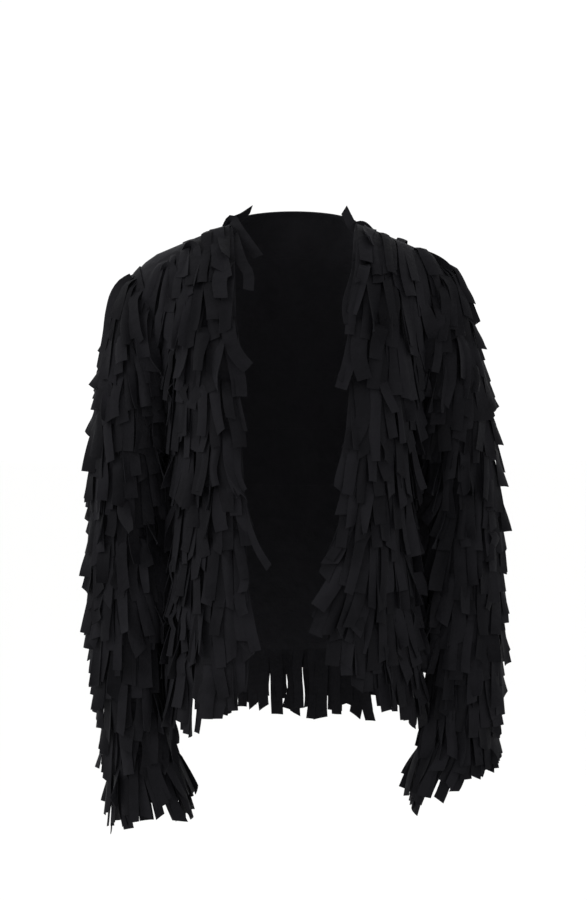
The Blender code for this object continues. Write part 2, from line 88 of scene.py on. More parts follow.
# One panel as built: its outer face on a fine grid, its normals, and whether it closes on itself.
Panel = namedtuple("Panel", "name points normals closed")

# The rows where a body panel's nine tapes start. The first lies nearer the shoulder seam, by each panel's own
# amount, and may run lower with each column. The thread lies along a tape's middle and draws the cloth in.
Tape = namedtuple("Tape", "row slope")
BODY_TIER_ROWS = (1.0, 3.0, 5.0, 7.0, 9.0, 11.0, 13.0, 15.0, 16.65)
BODY_TAPE_ROWS = 0.28
PUCKER = 0.0007
PUCKER_ROWS = 0.22
PUCKER_WAVE = 7

# A crease of the worn cloth: a soft trough (depth below 0) or ridge along a line in rows and columns.
# It fades towards the line's ends as a sine to this power.
CREASE_FADE = 0.7
Crease = namedtuple("Crease", "from_row from_column to_row to_column width depth")


def smooth_reading(rows, key, position, at):
    """Reads one column of a table as a smooth curve, a cubic between each two rows."""
    rows = sorted(rows, key=lambda row: getattr(row, position))
    xs = np.array([getattr(row, position) for row in rows])
    ys = np.array([getattr(row, key) for row in rows])
    slopes = np.gradient(ys, xs)
    at = np.clip(np.asarray(at, float), xs[0], xs[-1])
    i = np.clip(np.searchsorted(xs, at) - 1, 0, len(xs) - 2)
    span = xs[i + 1] - xs[i]
    t = (at - xs[i]) / span
    blend = t * t * (3 - 2 * t)
    rise = t * (1 - t) ** 2 * span * slopes[i] - t * t * (1 - t) * span * slopes[i + 1]
    return ys[i] * (1 - blend) + ys[i + 1] * blend + rise


def corner_arc(start, end, corner, share, roundness):
    """A quarter of a superellipse from start to end, bulging towards corner."""
    angle = np.asarray(share)[..., None] * math.pi / 2
    towards_end = np.sin(angle) ** (2 / roundness)
    towards_start = np.clip(np.cos(angle), 0, 1) ** (2 / roundness)
    return start + end - corner + (corner - start) * towards_end + (corner - end) * towards_start


def fine_shares(steps):
    """From 0 to 1 over a number of rows or columns, on the fine grid."""
    return np.linspace(0, 1, steps * FINER + 1)


def patch(top, bottom, inner, outer):
    """The surface that four edges span: both rulings added, less the plane of the corners."""
    down = np.linspace(0, 1, len(inner))[:, None, None]
    across = np.linspace(0, 1, len(top))[None, :, None]
    between_rows = top[None] * (1 - down) + bottom[None] * down
    between_columns = inner[:, None] * (1 - across) + outer[:, None] * across
    corners = (
        (top[0] * (1 - across) + top[-1] * across) * (1 - down)
        + (bottom[0] * (1 - across) + bottom[-1] * across) * down
    )
    return between_rows + between_columns - corners


def armhole_half(facing):
    """Half an ellipse from the shoulder tip to the armpit, over the front (facing -1) or the back (+1)."""
    angle = np.linspace(0, math.pi, ARMHOLE_ROWS * FINER + 1)
    tip, pit = np.array(SHOULDER_TIP), np.array((ARMPIT[0], 0.0, ARMPIT[1]))
    centre, half = (tip + pit) / 2, (tip - pit) / 2
    depth = np.array((0.0, facing * ARMHOLE_HALF_DEPTH, 0.0))
    ring = centre + np.cos(angle)[:, None] * half + np.sin(angle)[:, None] * depth
    ring[[0, -1], 1] += facing * SEAM_GAP / 2
    return ring


def body_ring(edge_x, height, facing, share):
    """A superellipse quarter at each height, from front edge or spine to side seam, with soft folds."""
    key = "front_depth" if facing < 0 else "back_depth"
    side = smooth_reading(BODY_SECTIONS, "half_width", "height", height)
    depth = facing * smooth_reading(BODY_SECTIONS, key, "height", height)
    seam = np.full_like(height, facing * SEAM_GAP / 2)
    start = np.stack([edge_x, depth, height], axis=-1)
    end = np.stack([side, seam, height], axis=-1)
    corner = np.stack([side, depth, height], axis=-1)
    ring = corner_arc(start, end, corner, share, CHEST_ROUNDNESS)
    below_bust = np.clip((ARMPIT[1] - height) / (ARMPIT[1] - BACK_HEM), 0, 1)
    wave = FOLD_DEPTH * below_bust * np.sin(share * math.pi) * np.sin(2 * math.pi * BODY_FOLDS * share)
    ring[..., 1] += facing * wave
    return ring


def half_body(edge_x_at, facing, columns, top, inner, hems):
    """One half of the body: a patch from the shoulder to the armpit, then rings down to the hem."""
    share = fine_shares(columns)
    chest_height = np.full_like(share, ARMPIT[1])
    chest = body_ring(edge_x_at(chest_height), chest_height, facing, share)
    upper = patch(top, chest, inner, armhole_half(facing))
    side_hem, edge_hem = hems
    hem = side_hem + (edge_hem - side_hem) * (1 - share) ** 2
    down = fine_shares(SKIRT_ROWS)[1:, None]
    height = ARMPIT[1] + (hem - ARMPIT[1]) * down
    return np.concatenate([upper, body_ring(edge_x_at(height), height, facing, share + 0 * height)])


def unit(vectors):
    """The same directions, one long."""
    return vectors / np.linalg.norm(vectors, axis=-1, keepdims=True)


def grid_normals(points, closed=False):
    """Unit normals of a grid, the cross product of its two directions, turned away from the wearer."""
    if closed:
        around = np.roll(points, -1, axis=1) - np.roll(points, 1, axis=1)
        outward = points - points.mean(axis=1, keepdims=True)
    else:
        around = np.gradient(points, axis=1)
        outward = points * (1, 1, 0)
    normals = unit(np.cross(around, np.gradient(points, axis=0)))
    return normals * math.copysign(1, (normals * outward).sum())


def armhole_axis():
    """The way from the body into the left sleeve, square to its armhole."""
    rise = np.array(SHOULDER_TIP) - (ARMPIT[0], 0, ARMPIT[1])
    return unit(np.array((rise[2], 0, -rise[0])))


def half_normals(points, seam_from_column):
    """Normals of half the body. At a seam they lie in the seam's plane, so that the edges meet flat."""
    normals = grid_normals(points)
    last = ARMHOLE_ROWS * FINER
    seam = np.array(SHOULDER_TIP) - NECK_POINT
    normals[0, seam_from_column * FINER :] = unit(np.array((-seam[2], 0, seam[0])))
    normals[last:, -1] = unit(normals[last:, -1] * (1, 0, 0))
    round_arm = normals[1:last, -1]
    towards_body = np.minimum(round_arm @ armhole_axis(), 0)
    normals[1:last, -1] = unit(round_arm - towards_body[:, None] * armhole_axis())
    return normals


def body_tapes(first_row, first_slope):
    return (Tape(first_row, first_slope), *(Tape(row, 0.0) for row in BODY_TIER_ROWS[1:]))


def creased(panel, creases, tapes, tape_rows):
    """The panel with its creases: along each line the cloth moves by depth * exp(-(distance/width)^2).
    Along each tape's thread it is drawn in the same way."""
    rows, columns = panel.points.shape[:2]
    row, column = np.mgrid[0:rows, 0:columns] / FINER
    row_step = np.linalg.norm(np.diff(panel.points, axis=0), axis=2).mean() * FINER
    column_step = np.linalg.norm(np.diff(panel.points, axis=1), axis=2).mean() * FINER
    here = np.stack([row * row_step, column * column_step], axis=-1)
    move = np.zeros((rows, columns))
    for crease in creases:
        start = np.array((crease.from_row * row_step, crease.from_column * column_step))
        line = np.array((crease.to_row * row_step, crease.to_column * column_step)) - start
        length = np.linalg.norm(line)
        along = ((here - start) @ line) / length**2
        distance = np.linalg.norm(here - start - np.clip(along, 0, 1)[..., None] * line, axis=-1)
        fade = np.sin(np.clip(along, 0, 1) * math.pi) ** CREASE_FADE
        move += crease.depth * fade * np.exp(-((distance / crease.width) ** 2))
    for tape in tapes:
        from_thread = row - tape.row - tape_rows / 2 - tape.slope * column
        drawn_in = PUCKER * (1 + 0.5 * np.sin(column * PUCKER_WAVE))
        move -= drawn_in * np.exp(-((from_thread / PUCKER_ROWS) ** 2))
    # The cut edges stay where the seams hold them.
    inside = np.minimum(np.arange(columns), np.arange(columns)[::-1]) / FINER if not panel.closed else 1.0
    inside_rows = np.minimum(np.arange(rows), np.arange(rows)[::-1]) / FINER
    move = move * np.clip(inside, 0, 1) * np.clip(inside_rows, 0, 1)[:, None]
    return panel._replace(points=panel.points + panel.normals * move[..., None])


def put_mesh(name, points, faces, uvs, shades=None):
    """An object at the origin with these points, quads, and for each point a UV pair and a shade."""
    mesh = bpy.data.meshes.new(name)
    mesh.from_pydata(points.tolist(), [], faces.tolist())
    layer = mesh.uv_layers.new(name="UVMap")
    corners = np.zeros(len(mesh.loops), np.int32)
    mesh.loops.foreach_get("vertex_index", corners)
    layer.data.foreach_set("uv", uvs[corners].astype(np.float32).ravel())
    if shades is None:
        shades = np.full(len(points), 0.5)
    mesh.attributes.new("shade", "FLOAT", "POINT").data.foreach_set("value", shades.astype(np.float32))
    mesh.shade_smooth()
    mesh.set_sharp_from_angle(angle=math.radians(SMOOTH_ANGLE))
    obj = bpy.data.objects.new(name, mesh)
    bpy.context.scene.collection.objects.link(obj)
    return obj


def quads(index):
    """The quads between the rows of an index grid."""
    cells = (index[:-1, :-1], index[:-1, 1:], index[1:, 1:], index[1:, :-1])
    return np.stack([cell.ravel() for cell in cells], axis=1)


def distances(grid, axis):
    """How far down (axis 0) or across (axis 1) a grid of points each of its lines lies, on average."""
    steps = np.linalg.norm(np.diff(grid, axis=axis), axis=2).mean(axis=1 - axis)
    return np.concatenate([[0], np.cumsum(steps)])


def flat_places(grid, shift=0.0):
    """UVs in metres: how far across and down the flat cloth each point lies."""
    across, down = distances(grid, 1) + shift, distances(grid, 0)
    return np.stack(np.broadcast_arrays(across[None], down[:, None]), axis=-1).reshape(-1, 2)


def dress(piece, material, replaced=None):
    """Gives a piece its material, hangs it from the root body, and hides the part that it replaces."""
    piece.data.materials.append(material)
    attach(piece, "root")
    if replaced:
        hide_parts(replaced)
    return piece


def sew_panel(panel):
    """The cloth of a panel: its outer face, the same grid one thickness in, and the cut edges."""
    points, normals = panel.points, panel.normals
    rows, columns = points.shape[:2]
    uvs = flat_places(points)
    outer = np.arange(rows * columns).reshape(rows, columns)
    if panel.closed:
        outer = np.concatenate([outer, outer[:, :1]], axis=1)
    inner = outer + rows * columns
    faces = [quads(outer), quads(inner)[:, ::-1]]
    faces += [quads(np.stack([inner[0], outer[0]])), quads(np.stack([outer[-1], inner[-1]]))]
    if not panel.closed:
        faces += [quads(np.stack([outer[:, 0], inner[:, 0]])), quads(np.stack([inner[:, -1], outer[:, -1]]))]
    faces = np.concatenate(faces)
    points = np.concatenate([points, points - normals * CLOTH]).reshape(-1, 3)
    a, b, c = points[faces[0][:3]]
    if np.dot(np.cross(b - a, c - b), normals.reshape(-1, 3)[faces[0][0]]) < 0:
        faces = faces[:, ::-1]
    piece = put_mesh(f"{panel.name}_cloth", points, faces, np.concatenate([uvs, uvs]))
    return dress(piece, knit, panel.name)


def shader_node(tree, kind, sockets, settings):
    """The outputs of a new node with these settings. Each socket gets a value or the output that feeds it."""
    made = tree.nodes.new("ShaderNode" + kind)
    for key, value in settings.items():
        setattr(made, key, value)
    for key, value in sockets.items():
        if isinstance(value, bpy.types.NodeSocket):
            tree.links.new(value, made.inputs[key])
        else:
            made.inputs[key].default_value = value
    return made.outputs


def colour_ramp(tree, factor, positions, colours):
    """The colour that a factor picks from a ramp of two colours."""
    ramp = tree.nodes.new("ShaderNodeValToRGB")
    for stop, position, colour in zip(ramp.color_ramp.elements, positions, colours):
        stop.position = position
        stop.color = (*colour, 1)
    tree.links.new(factor, ramp.inputs["Fac"])
    return ramp.outputs["Color"]


def knit_material(name, dark, light, roughness, sheen):
    """Black jersey: wales and courses as bump, a slow drift of colour, and fuzz that catches light."""
    material = bpy.data.materials.new(name)
    material.use_nodes = True
    links = material.node_tree.links
    shader = material.node_tree.nodes["Principled BSDF"]
    shader.inputs["Metallic"].default_value = 0.0
    shader.inputs["Specular IOR Level"].default_value = 0.05
    shader.inputs["Sheen Weight"].default_value = sheen
    shader.inputs["Sheen Roughness"].default_value = 0.45
    shader.inputs["Sheen Tint"].default_value = (0.80, 0.84, 0.92, 1)

    def node(kind, sockets, **settings):
        return shader_node(material.node_tree, kind, sockets, settings)

    uv = node("UVMap", {}, uv_map="UVMap")["UV"]
    place = node("TexCoord", {})["Object"]

    # Drift of the dye over a few centimetres, a finer mottle of the fibres, and each strip's own shade.
    drift = node("TexNoise", {"Vector": place, "Scale": 22, "Detail": 9, "Roughness": 0.72})["Fac"]
    shade = node("Attribute", {}, attribute_name="shade")["Fac"]
    spread = node("Math", {0: shade, 1: 0.36, 2: -0.18}, operation="MULTIPLY_ADD")["Value"]
    shaded = node("Math", {0: drift, 1: spread}, operation="ADD")["Value"]
    dye = colour_ramp(material.node_tree, shaded, (0.36, 0.66), (dark, light))
    links.new(dye, shader.inputs["Base Color"])
    worn = node("MapRange", {"Value": drift, "To Min": roughness - 0.06, "To Max": roughness + 0.10})
    links.new(worn["Result"], shader.inputs["Roughness"])

    # Wales run down the cloth about 1 mm apart, and the courses cross them.
    waves = []
    for way, scale, distortion in (("X", 310, 1.2), ("Y", 400, 2.0)):
        sockets = {"Vector": uv, "Scale": scale, "Distortion": distortion, "Detail": 1}
        waves.append(node("TexWave", sockets, bands_direction=way)["Fac"])
    loops = node("Math", {0: waves[0], 1: waves[1]}, operation="MULTIPLY")["Value"]
    weave = node("Bump", {"Height": loops, "Strength": 0.35, "Distance": 0.00025})["Normal"]

    # Crumple of the thin cloth, a centimetre or so across.
    crumple = node("TexNoise", {"Vector": place, "Scale": 85, "Detail": 4})["Fac"]
    bumps = node("Bump", {"Height": crumple, "Normal": weave, "Strength": 0.8, "Distance": 0.0024})
    links.new(bumps["Normal"], shader.inputs["Normal"])
    return material


def shoulder_ends(facing):
    """The neck point and the shoulder tip, on the front's (facing -1) or the back's side of their seam."""
    neck, tip = np.array(NECK_POINT), np.array(SHOULDER_TIP)
    neck[1] = tip[1] = facing * SEAM_GAP / 2
    return neck, tip


def back_panel():
    """Half a back from spine to side seam, and its mirror image."""
    neck, tip = shoulder_ends(1)
    middle = np.array((0.0, *BACK_NECK))
    neck_corner = np.array((NECK_POINT[0], *BACK_NECK))
    neck_share = fine_shares(NECK_COLUMNS)
    hollow = corner_arc(middle, neck, neck_corner, neck_share, SHOULDER_ROUNDNESS)
    seam_share = fine_shares((HALF_BACK_COLUMNS - NECK_COLUMNS))[1:, None]
    top = np.concatenate([hollow, neck + seam_share * (tip - neck)])
    chest_depth = BODY_SECTIONS[0].back_depth
    chest = np.array((0.0, chest_depth, ARMPIT[1]))
    corner = np.array((0.0, chest_depth, BACK_NECK[1]))
    spine = corner_arc(middle, chest, corner, fine_shares(ARMHOLE_ROWS), SPINE_ROUNDNESS)
    half = half_body(np.zeros_like, 1, HALF_BACK_COLUMNS, top, spine, (SIDE_HEM_OF_BACK, BACK_HEM))
    normals = half_normals(half, NECK_COLUMNS)
    normals[:, 0] = unit(normals[:, 0] * (0, 1, 1))

    def whole(grid):
        return np.concatenate([grid[:, :0:-1] * (-1, 1, 1), grid], axis=1)

    return Panel("back", whole(half), whole(normals), closed=False)


BACK_CREASES = rows_of(
    Crease,
    (0.6, 1.2, 1.9, 5.0, 0.011, -0.0018),
    (0.6, 16.8, 1.9, 13.0, 0.011, -0.0018),
    (0.3, 6.0, 3.2, 7.5, 0.014, 0.0016),
    (0.3, 12.0, 3.2, 10.6, 0.014, 0.0016),
    (5.0, 1.0, 8.5, 4.5, 0.013, -0.0022),
    (5.0, 17.0, 8.5, 13.5, 0.013, -0.0022),
    (9.0, 6.0, 16.0, 6.6, 0.016, -0.0024),
    (9.5, 12.2, 16.4, 11.4, 0.016, -0.0024),
)
knit = knit_material("black_knit_cloth", (0.0074, 0.0072, 0.0086), (0.0104, 0.0101, 0.0119), 0.70, 0.036)
back = back_panel()
BACK_TAPES = body_tapes(0.38, 0.0)
back_as_worn = creased(back, BACK_CREASES, BACK_TAPES, BODY_TAPE_ROWS)
back_cloth = sew_panel(back_as_worn)

# The two fronts
# Cut from the same jersey, with no collar, facing or fastening: each cut edge falls open from the neck.
# Their hems slope up from the side seam towards the open edge, the left one further.
FRONT_COLUMNS = 7
FrontEdge = namedtuple("FrontEdge", "height x")
FrontCut = namedtuple("FrontCut", "edge side_hem front_hem")
RIGHT_FRONT = FrontCut(
    edge=rows_of(
        FrontEdge,
        (-0.185, 0.0700),
        (-0.250, 0.0660),
        (-0.320, 0.0610),
        (-0.400, 0.0580),
        (-0.500, 0.0570),
        (-0.565, 0.0590),
    ),
    side_hem=-0.550,
    front_hem=-0.490,
)
LEFT_FRONT = FrontCut(
    edge=rows_of(
        FrontEdge,
        (-0.185, 0.0700),
        (-0.250, 0.0660),
        (-0.320, 0.0630),
        (-0.400, 0.0560),
        (-0.470, 0.0450),
        (-0.565, 0.0350),
    ),
    side_hem=-0.548,
    front_hem=-0.452,
)


def front_panel(name, cut, side):
    """A front from its cut edge to the side seam, for the left (side 1) or the right (side -1)."""
    def edge_x_at(height):
        return smooth_reading(cut.edge, "x", "height", height)

    neck, tip = shoulder_ends(-1)
    seam = neck + fine_shares(FRONT_COLUMNS)[:, None] * (tip - neck)
    chest_depth = BODY_SECTIONS[0].front_depth
    chest = np.array((float(edge_x_at(ARMPIT[1])), -chest_depth, ARMPIT[1]))
    corner = np.array((float(edge_x_at(ARMPIT[1])), -chest_depth, NECK_POINT[2]))
    down = fine_shares(ARMHOLE_ROWS)
    neckline = corner_arc(neck, chest, corner, down, SHOULDER_ROUNDNESS)
    half = half_body(edge_x_at, -1, FRONT_COLUMNS, seam, neckline, (cut.side_hem, cut.front_hem))
    return Panel(name, half * (side, 1, 1), half_normals(half, 0) * (side, 1, 1), closed=False)


FRONT_CREASES = rows_of(
    Crease,
    (0.2, 1.0, 2.2, 3.6, 0.012, -0.0020),
    (0.2, 2.6, 1.6, 5.6, 0.010, 0.0016),
    (4.6, 6.6, 8.0, 3.6, 0.013, -0.0024),
    (9.0, 2.2, 16.5, 2.0, 0.015, 0.0022),
    (10.0, 4.6, 16.5, 5.0, 0.015, -0.0022),
)
right_front = front_panel("right_front", RIGHT_FRONT, -1)
left_front = front_panel("left_front", LEFT_FRONT, 1)
RIGHT_TAPES = body_tapes(0.60, 0.10)
LEFT_TAPES = body_tapes(0.45, 0.02)
right_front_as_worn = creased(right_front, FRONT_CREASES, RIGHT_TAPES, BODY_TAPE_ROWS)
left_front_as_worn = creased(left_front, FRONT_CREASES, LEFT_TAPES, BODY_TAPE_ROWS)
right_front_cloth = sew_panel(right_front_as_worn)
left_front_cloth = sew_panel(left_front_as_worn)

# The two sleeves
# Each is one piece of the jersey closed by an underarm seam and set into its armhole, open at the cuff.
# They hang straight down the arm, a little bent at the elbow, and are as bare inside as the body.
SLEEVE_COLUMNS = 14
SLEEVE_TIERS = 12
CUFF_RISE = 0.014
SleeveSection = namedtuple("SleeveSection", "outer_z outer_x inner_x inner_z half_depth centre_y")
RIGHT_SLEEVE = rows_of(
    SleeveSection,
    (-0.038, 0.1740, 0.1552, -0.1850, 0.0570, 0.000),
    (-0.051, 0.1920, 0.1590, -0.1885, 0.0580, 0.001),
    (-0.090, 0.2160, 0.1620, -0.1950, 0.0580, 0.003),
    (-0.135, 0.2280, 0.1635, -0.2060, 0.0570, 0.005),
    (-0.185, 0.2375, 0.1645, -0.2250, 0.0550, 0.006),
    (-0.255, 0.2480, 0.1655, -0.2680, 0.0525, 0.008),
    (-0.350, 0.2520, 0.1660, -0.3520, 0.0495, 0.008),
    (-0.450, 0.2520, 0.1670, -0.4500, 0.0465, 0.006),
    (-0.545, 0.2460, 0.1680, -0.5450, 0.0430, 0.004),
    (-0.620, 0.2380, 0.1630, -0.6200, 0.0400, 0.003),
    (-0.678, 0.2280, 0.1560, -0.6780, 0.0380, 0.002),
)
LEFT_SLEEVE = rows_of(
    SleeveSection,
    (-0.038, 0.1740, 0.1552, -0.1850, 0.0570, 0.000),
    (-0.051, 0.1920, 0.1590, -0.1885, 0.0580, 0.001),
    (-0.090, 0.2130, 0.1620, -0.1950, 0.0580, 0.003),
    (-0.135, 0.2240, 0.1635, -0.2060, 0.0570, 0.005),
    (-0.185, 0.2350, 0.1645, -0.2250, 0.0550, 0.006),
    (-0.255, 0.2465, 0.1665, -0.2680, 0.0525, 0.008),
    (-0.350, 0.2570, 0.1690, -0.3520, 0.0495, 0.008),
    (-0.450, 0.2600, 0.1720, -0.4500, 0.0465, 0.006),
    (-0.545, 0.2600, 0.1760, -0.5450, 0.0430, 0.004),
    (-0.610, 0.2550, 0.1760, -0.6100, 0.0400, 0.003),
    (-0.660, 0.2470, 0.1720, -0.6600, 0.0380, 0.002),
)


def sleeve_panel(name, sections, side):
    """Rings down the arm: ellipses whose long lines run along the sleeve's outer and inner line."""
    first, last = sections[0].outer_z, sections[-1].outer_z
    start, cuff_root = sections[1].outer_z, last + CUFF_RISE
    ring_z = np.concatenate([[first], np.linspace(start, cuff_root, SLEEVE_TIERS), [last]])
    rows = np.linspace(0, len(ring_z) - 1, (len(ring_z) - 1) * FINER + 1)
    outer_z = np.interp(rows, np.arange(len(ring_z)), ring_z)
    read = {
        key: smooth_reading(sections, key, "outer_z", outer_z)
        for key in ("outer_x", "inner_x", "inner_z", "half_depth", "centre_y")
    }
    outer = np.stack([read["outer_x"], read["centre_y"], outer_z], axis=-1)
    inner = np.stack([read["inner_x"], read["centre_y"], read["inner_z"]], axis=-1)
    outer[0, 0] += SEAM_GAP
    inner[0, 0] += SEAM_GAP
    angle = np.linspace(0, 2 * math.pi, SLEEVE_COLUMNS * FINER, endpoint=False)[None, :, None]
    depth = read["half_depth"][:, None, None] * np.array((0.0, -1.0, 0.0))
    centre, half = (outer + inner)[:, None] / 2, (outer - inner)[:, None] / 2
    rings = (centre + np.cos(angle) * half + np.sin(angle) * depth) * (side, 1, 1)
    normals = grid_normals(rings, closed=True)
    axis = armhole_axis() * (side, 1, 1)
    normals[0] = unit(normals[0] - (normals[0] @ axis)[:, None] * axis)
    return Panel(name, rings, normals, closed=True)


SLEEVE_CREASES = rows_of(
    Crease,
    (1.2, 1.0, 3.4, 3.2, 0.011, -0.0020),
    (1.2, 13.0, 3.6, 11.2, 0.011, -0.0020),
    (5.6, 3.4, 6.6, 7.2, 0.010, -0.0024),
    (6.3, 3.0, 7.4, 6.8, 0.010, 0.0018),
    (10.0, 2.0, 12.4, 3.0, 0.010, 0.0016),
)
right_sleeve = sleeve_panel("right_sleeve", RIGHT_SLEEVE, -1)
left_sleeve = sleeve_panel("left_sleeve", LEFT_SLEEVE, 1)
SLEEVE_TAPE_ROWS = 0.20


def sleeve_tapes(first_row):
    return (Tape(first_row, 0.0), *(Tape(tier, 0.0) for tier in range(2, SLEEVE_TIERS + 1)))


RIGHT_SLEEVE_TAPES = sleeve_tapes(1.05)
LEFT_SLEEVE_TAPES = sleeve_tapes(0.75)
right_sleeve_as_worn = creased(right_sleeve, SLEEVE_CREASES, RIGHT_SLEEVE_TAPES, SLEEVE_TAPE_ROWS)
left_sleeve_as_worn = creased(left_sleeve, SLEEVE_CREASES, LEFT_SLEEVE_TAPES, SLEEVE_TAPE_ROWS)
right_sleeve_cloth = sew_panel(right_sleeve_as_worn)
left_sleeve_cloth = sew_panel(left_sleeve_as_worn)

# The tiers of fringe
# Each tier is a band of thinner jersey: its top is stitched to the panel as a tape, and below the
# tape it is slashed into strips about 17 mm wide. They hang in three layers, cut off straight or aslant.
TAPE_CLEARANCE = 0.0007
STRIP_THICKNESS = 0.0008
STRIP_WIDTH = 0.0172
ALONG = 9
ACROSS = 3
FALL_STEP = 0.003
ROW_BELOW_HEM = 0.014
BODY_COMBED = 4.0
SLEEVE_COMBED = 0.2
DOWN_ROWS = 0.05
CUFF_TAPE_ROWS = 0.80
BODY_STRIP_LENGTH = 0.092
SLEEVE_STRIP_LENGTH = 0.084
TIP_STAND_OFF = 0.0092
SIDE_ROOM = 0.003
SLEEVE_HALF_DEPTH = 0.055
BELOW_ARMPIT = 0.012
BODY_HALF_DEPTH = 0.110
PLUMB = 0.8
MOST_PLUMB = 0.012
LEVELLED = (1, 1, 0.7)
TAPE_TUCK = 0.03
UV_SHIFT = 0.0031
fringe = knit_material("black_fringe_strips", (0.0044, 0.0043, 0.0053), (0.0076, 0.0074, 0.0090), 0.70, 0.018)

# The strips of a tier lie in three layers. Lengths and stand-offs are shares of the tier's own, lift and
# wander are in metres, and twisted is the share of strips that show their edge.
Layer = namedtuple("Layer", "pitch shortest longest lift stand_off wander twisted")
LAYERS = rows_of(
    Layer,
    (0.0155, 0.86, 1.12, 0.0000, 0.85, 0.0032, 0.05),
    (0.0185, 0.62, 1.10, 0.0020, 1.00, 0.0048, 0.13),
    (0.0260, 0.42, 0.95, 0.0038, 1.15, 0.0060, 0.24),
)

# A strip: the column that it hangs from and its size, then how it hangs.
# stand_off and sway are where its tip is, twist is in turns, and loop is how far it bows out near its root.
Strip = namedtuple("Strip", "column width length slant layer stand_off sway bend twist cup loop curl")

# Shares of a strip's length: where it has left its tape, where it starts to turn, and where a loop ends.
ROOT = 0.16
TURN_START = 0.12
LOOP_END = 0.42
TURNED_LIFT = 0.28

# What a strip's place asks of it: a sway, factors on its length and its stand-off, and the share of strips
# that have turned there. TO_FRONT instead turns each strip's face partly to the front.
Manner = namedtuple("Manner", "sway longer further turned", defaults=(0.0, 1.0, 1.0, 0.0))
TO_FRONT = -1.0

# How strips differ from each other, as ranges, spreads and shares.
MIDDLE_SPREAD = 0.35
WIDTHS = (0.66, 1.14)
SLANTS = (-0.34, 0.34)
LEAST_LIFT = 0.0002
EVERY_OTHER_LIFT = 0.0014
MOST_EXTRA_LIFT = 0.0006
STAND_OFFS = (0.50, 1.0)
BEND_SPREAD = 0.0024
TWIST_SPREAD = 0.030
TWISTS = (0.10, 0.27)
CUP_WAYS = (1.0, -0.7)
CUPS = (0.0005, 0.0018)
CURLED_CUPS = (0.0026, 0.0044)
CURLED_SHARE = 0.22
LOOPS = (0.003, 0.008)
BOWED_SHARE = 0.09
CURL = 0.0008
CURL_SPREAD = 0.0018
FRONT_TWIST = 0.075
FRONT_TWIST_SHARE = 0.35
FRONT_LOOP_SHARE = 0.3


def at_places(panel, grid, rows, columns):
    """Reads a grid of the panel at rows and columns, straight between its points."""
    last_row, count = grid.shape[0] - 1, grid.shape[1]
    r = np.clip(rows * FINER, 0, last_row)
    c = columns * FINER if panel.closed else np.clip(columns * FINER, 0, count - 1)
    r0 = np.minimum(r.astype(int), last_row - 1)
    c0 = np.floor(c).astype(int) if panel.closed else np.minimum(c.astype(int), count - 2)
    down, over = (r - r0)[:, None], (c - c0)[:, None]
    left, right = c0 % count, (c0 + 1) % count
    upper = grid[r0, left] * (1 - over) + grid[r0, right] * over
    lower = grid[r0 + 1, left] * (1 - over) + grid[r0 + 1, right] * over
    return upper * (1 - down) + lower * down


def on_panel(panel, rows, columns):
    """Points of the panel's outer face at rows and columns, and the ways that they face."""
    return at_places(panel, panel.points, rows, columns), unit(at_places(panel, panel.normals, rows, columns))


def along_line(at, knots, places):
    """Reads a line of places, which lie at knots, at other distances along it."""
    return np.stack([np.interp(at, knots, places[:, k]) for k in range(3)], axis=-1)


def hem_row(panel):
    return (panel.points.shape[0] - 1) / FINER


def falling_lines(panel, rows, columns, length):
    """Lines that hang from places at rows and columns, step by step down the surface: partly its steepest
    way and partly straight down as seen from the front, because the strips on the shoulders were combed so.
    Past the panel's edge they fall straight. Returns points and facings, each strip x step x 3."""
    points = panel.points
    down_grid = np.gradient(points, axis=0) * FINER
    if panel.closed:
        over_grid = (np.roll(points, -1, axis=1) - np.roll(points, 1, axis=1)) / 2 * FINER
    else:
        over_grid = np.gradient(points, axis=1) * FINER
    last_row = hem_row(panel)
    last_column = (points.shape[1] - 1) / FINER
    here, facing = on_panel(panel, rows, columns)
    beyond = at_places(panel, points, np.full(len(columns), last_row), columns)
    free = rows >= last_row
    here = np.where(free[:, None], beyond - (0, 0, 1) * (rows - last_row)[:, None] * ROW_BELOW_HEM, here)
    line, faces = [here], [facing]
    gravity = np.array((0.0, 0.0, -1.0))
    for _ in range(int(math.ceil(length / FALL_STEP))):
        down = at_places(panel, down_grid, rows, columns)
        over = at_places(panel, over_grid, rows, columns)
        steep = gravity - facing * (facing @ gravity)[:, None]
        combed = np.cross(facing, (1.0, 0.0, 0.0))
        combed *= -np.sign(combed[:, 2:3] + 1e-9)
        way = unit(steep + (SLEEVE_COMBED if panel.closed else BODY_COMBED) * combed + DOWN_ROWS * unit(down))
        dd, do, oo = (down * down).sum(1), (down * over).sum(1), (over * over).sum(1)
        wd, wo = (way * down).sum(1), (way * over).sum(1)
        whole = dd * oo - do * do
        rows = rows + np.where(free, 0, (wd * oo - wo * do) / whole * FALL_STEP)
        columns = columns + np.where(free, 0, (wo * dd - wd * do) / whole * FALL_STEP)
        free = free | (rows >= last_row)
        if not panel.closed:
            free = free | (columns <= 0) | (columns >= last_column)
        place, outward = on_panel(panel, rows, columns)
        here = np.where(free[:, None], here + gravity * FALL_STEP, place)
        facing = np.where(free[:, None], unit(facing * LEVELLED), outward)
        line.append(here)
        faces.append(facing)
    return np.stack(line, axis=1), np.stack(faces, axis=1)


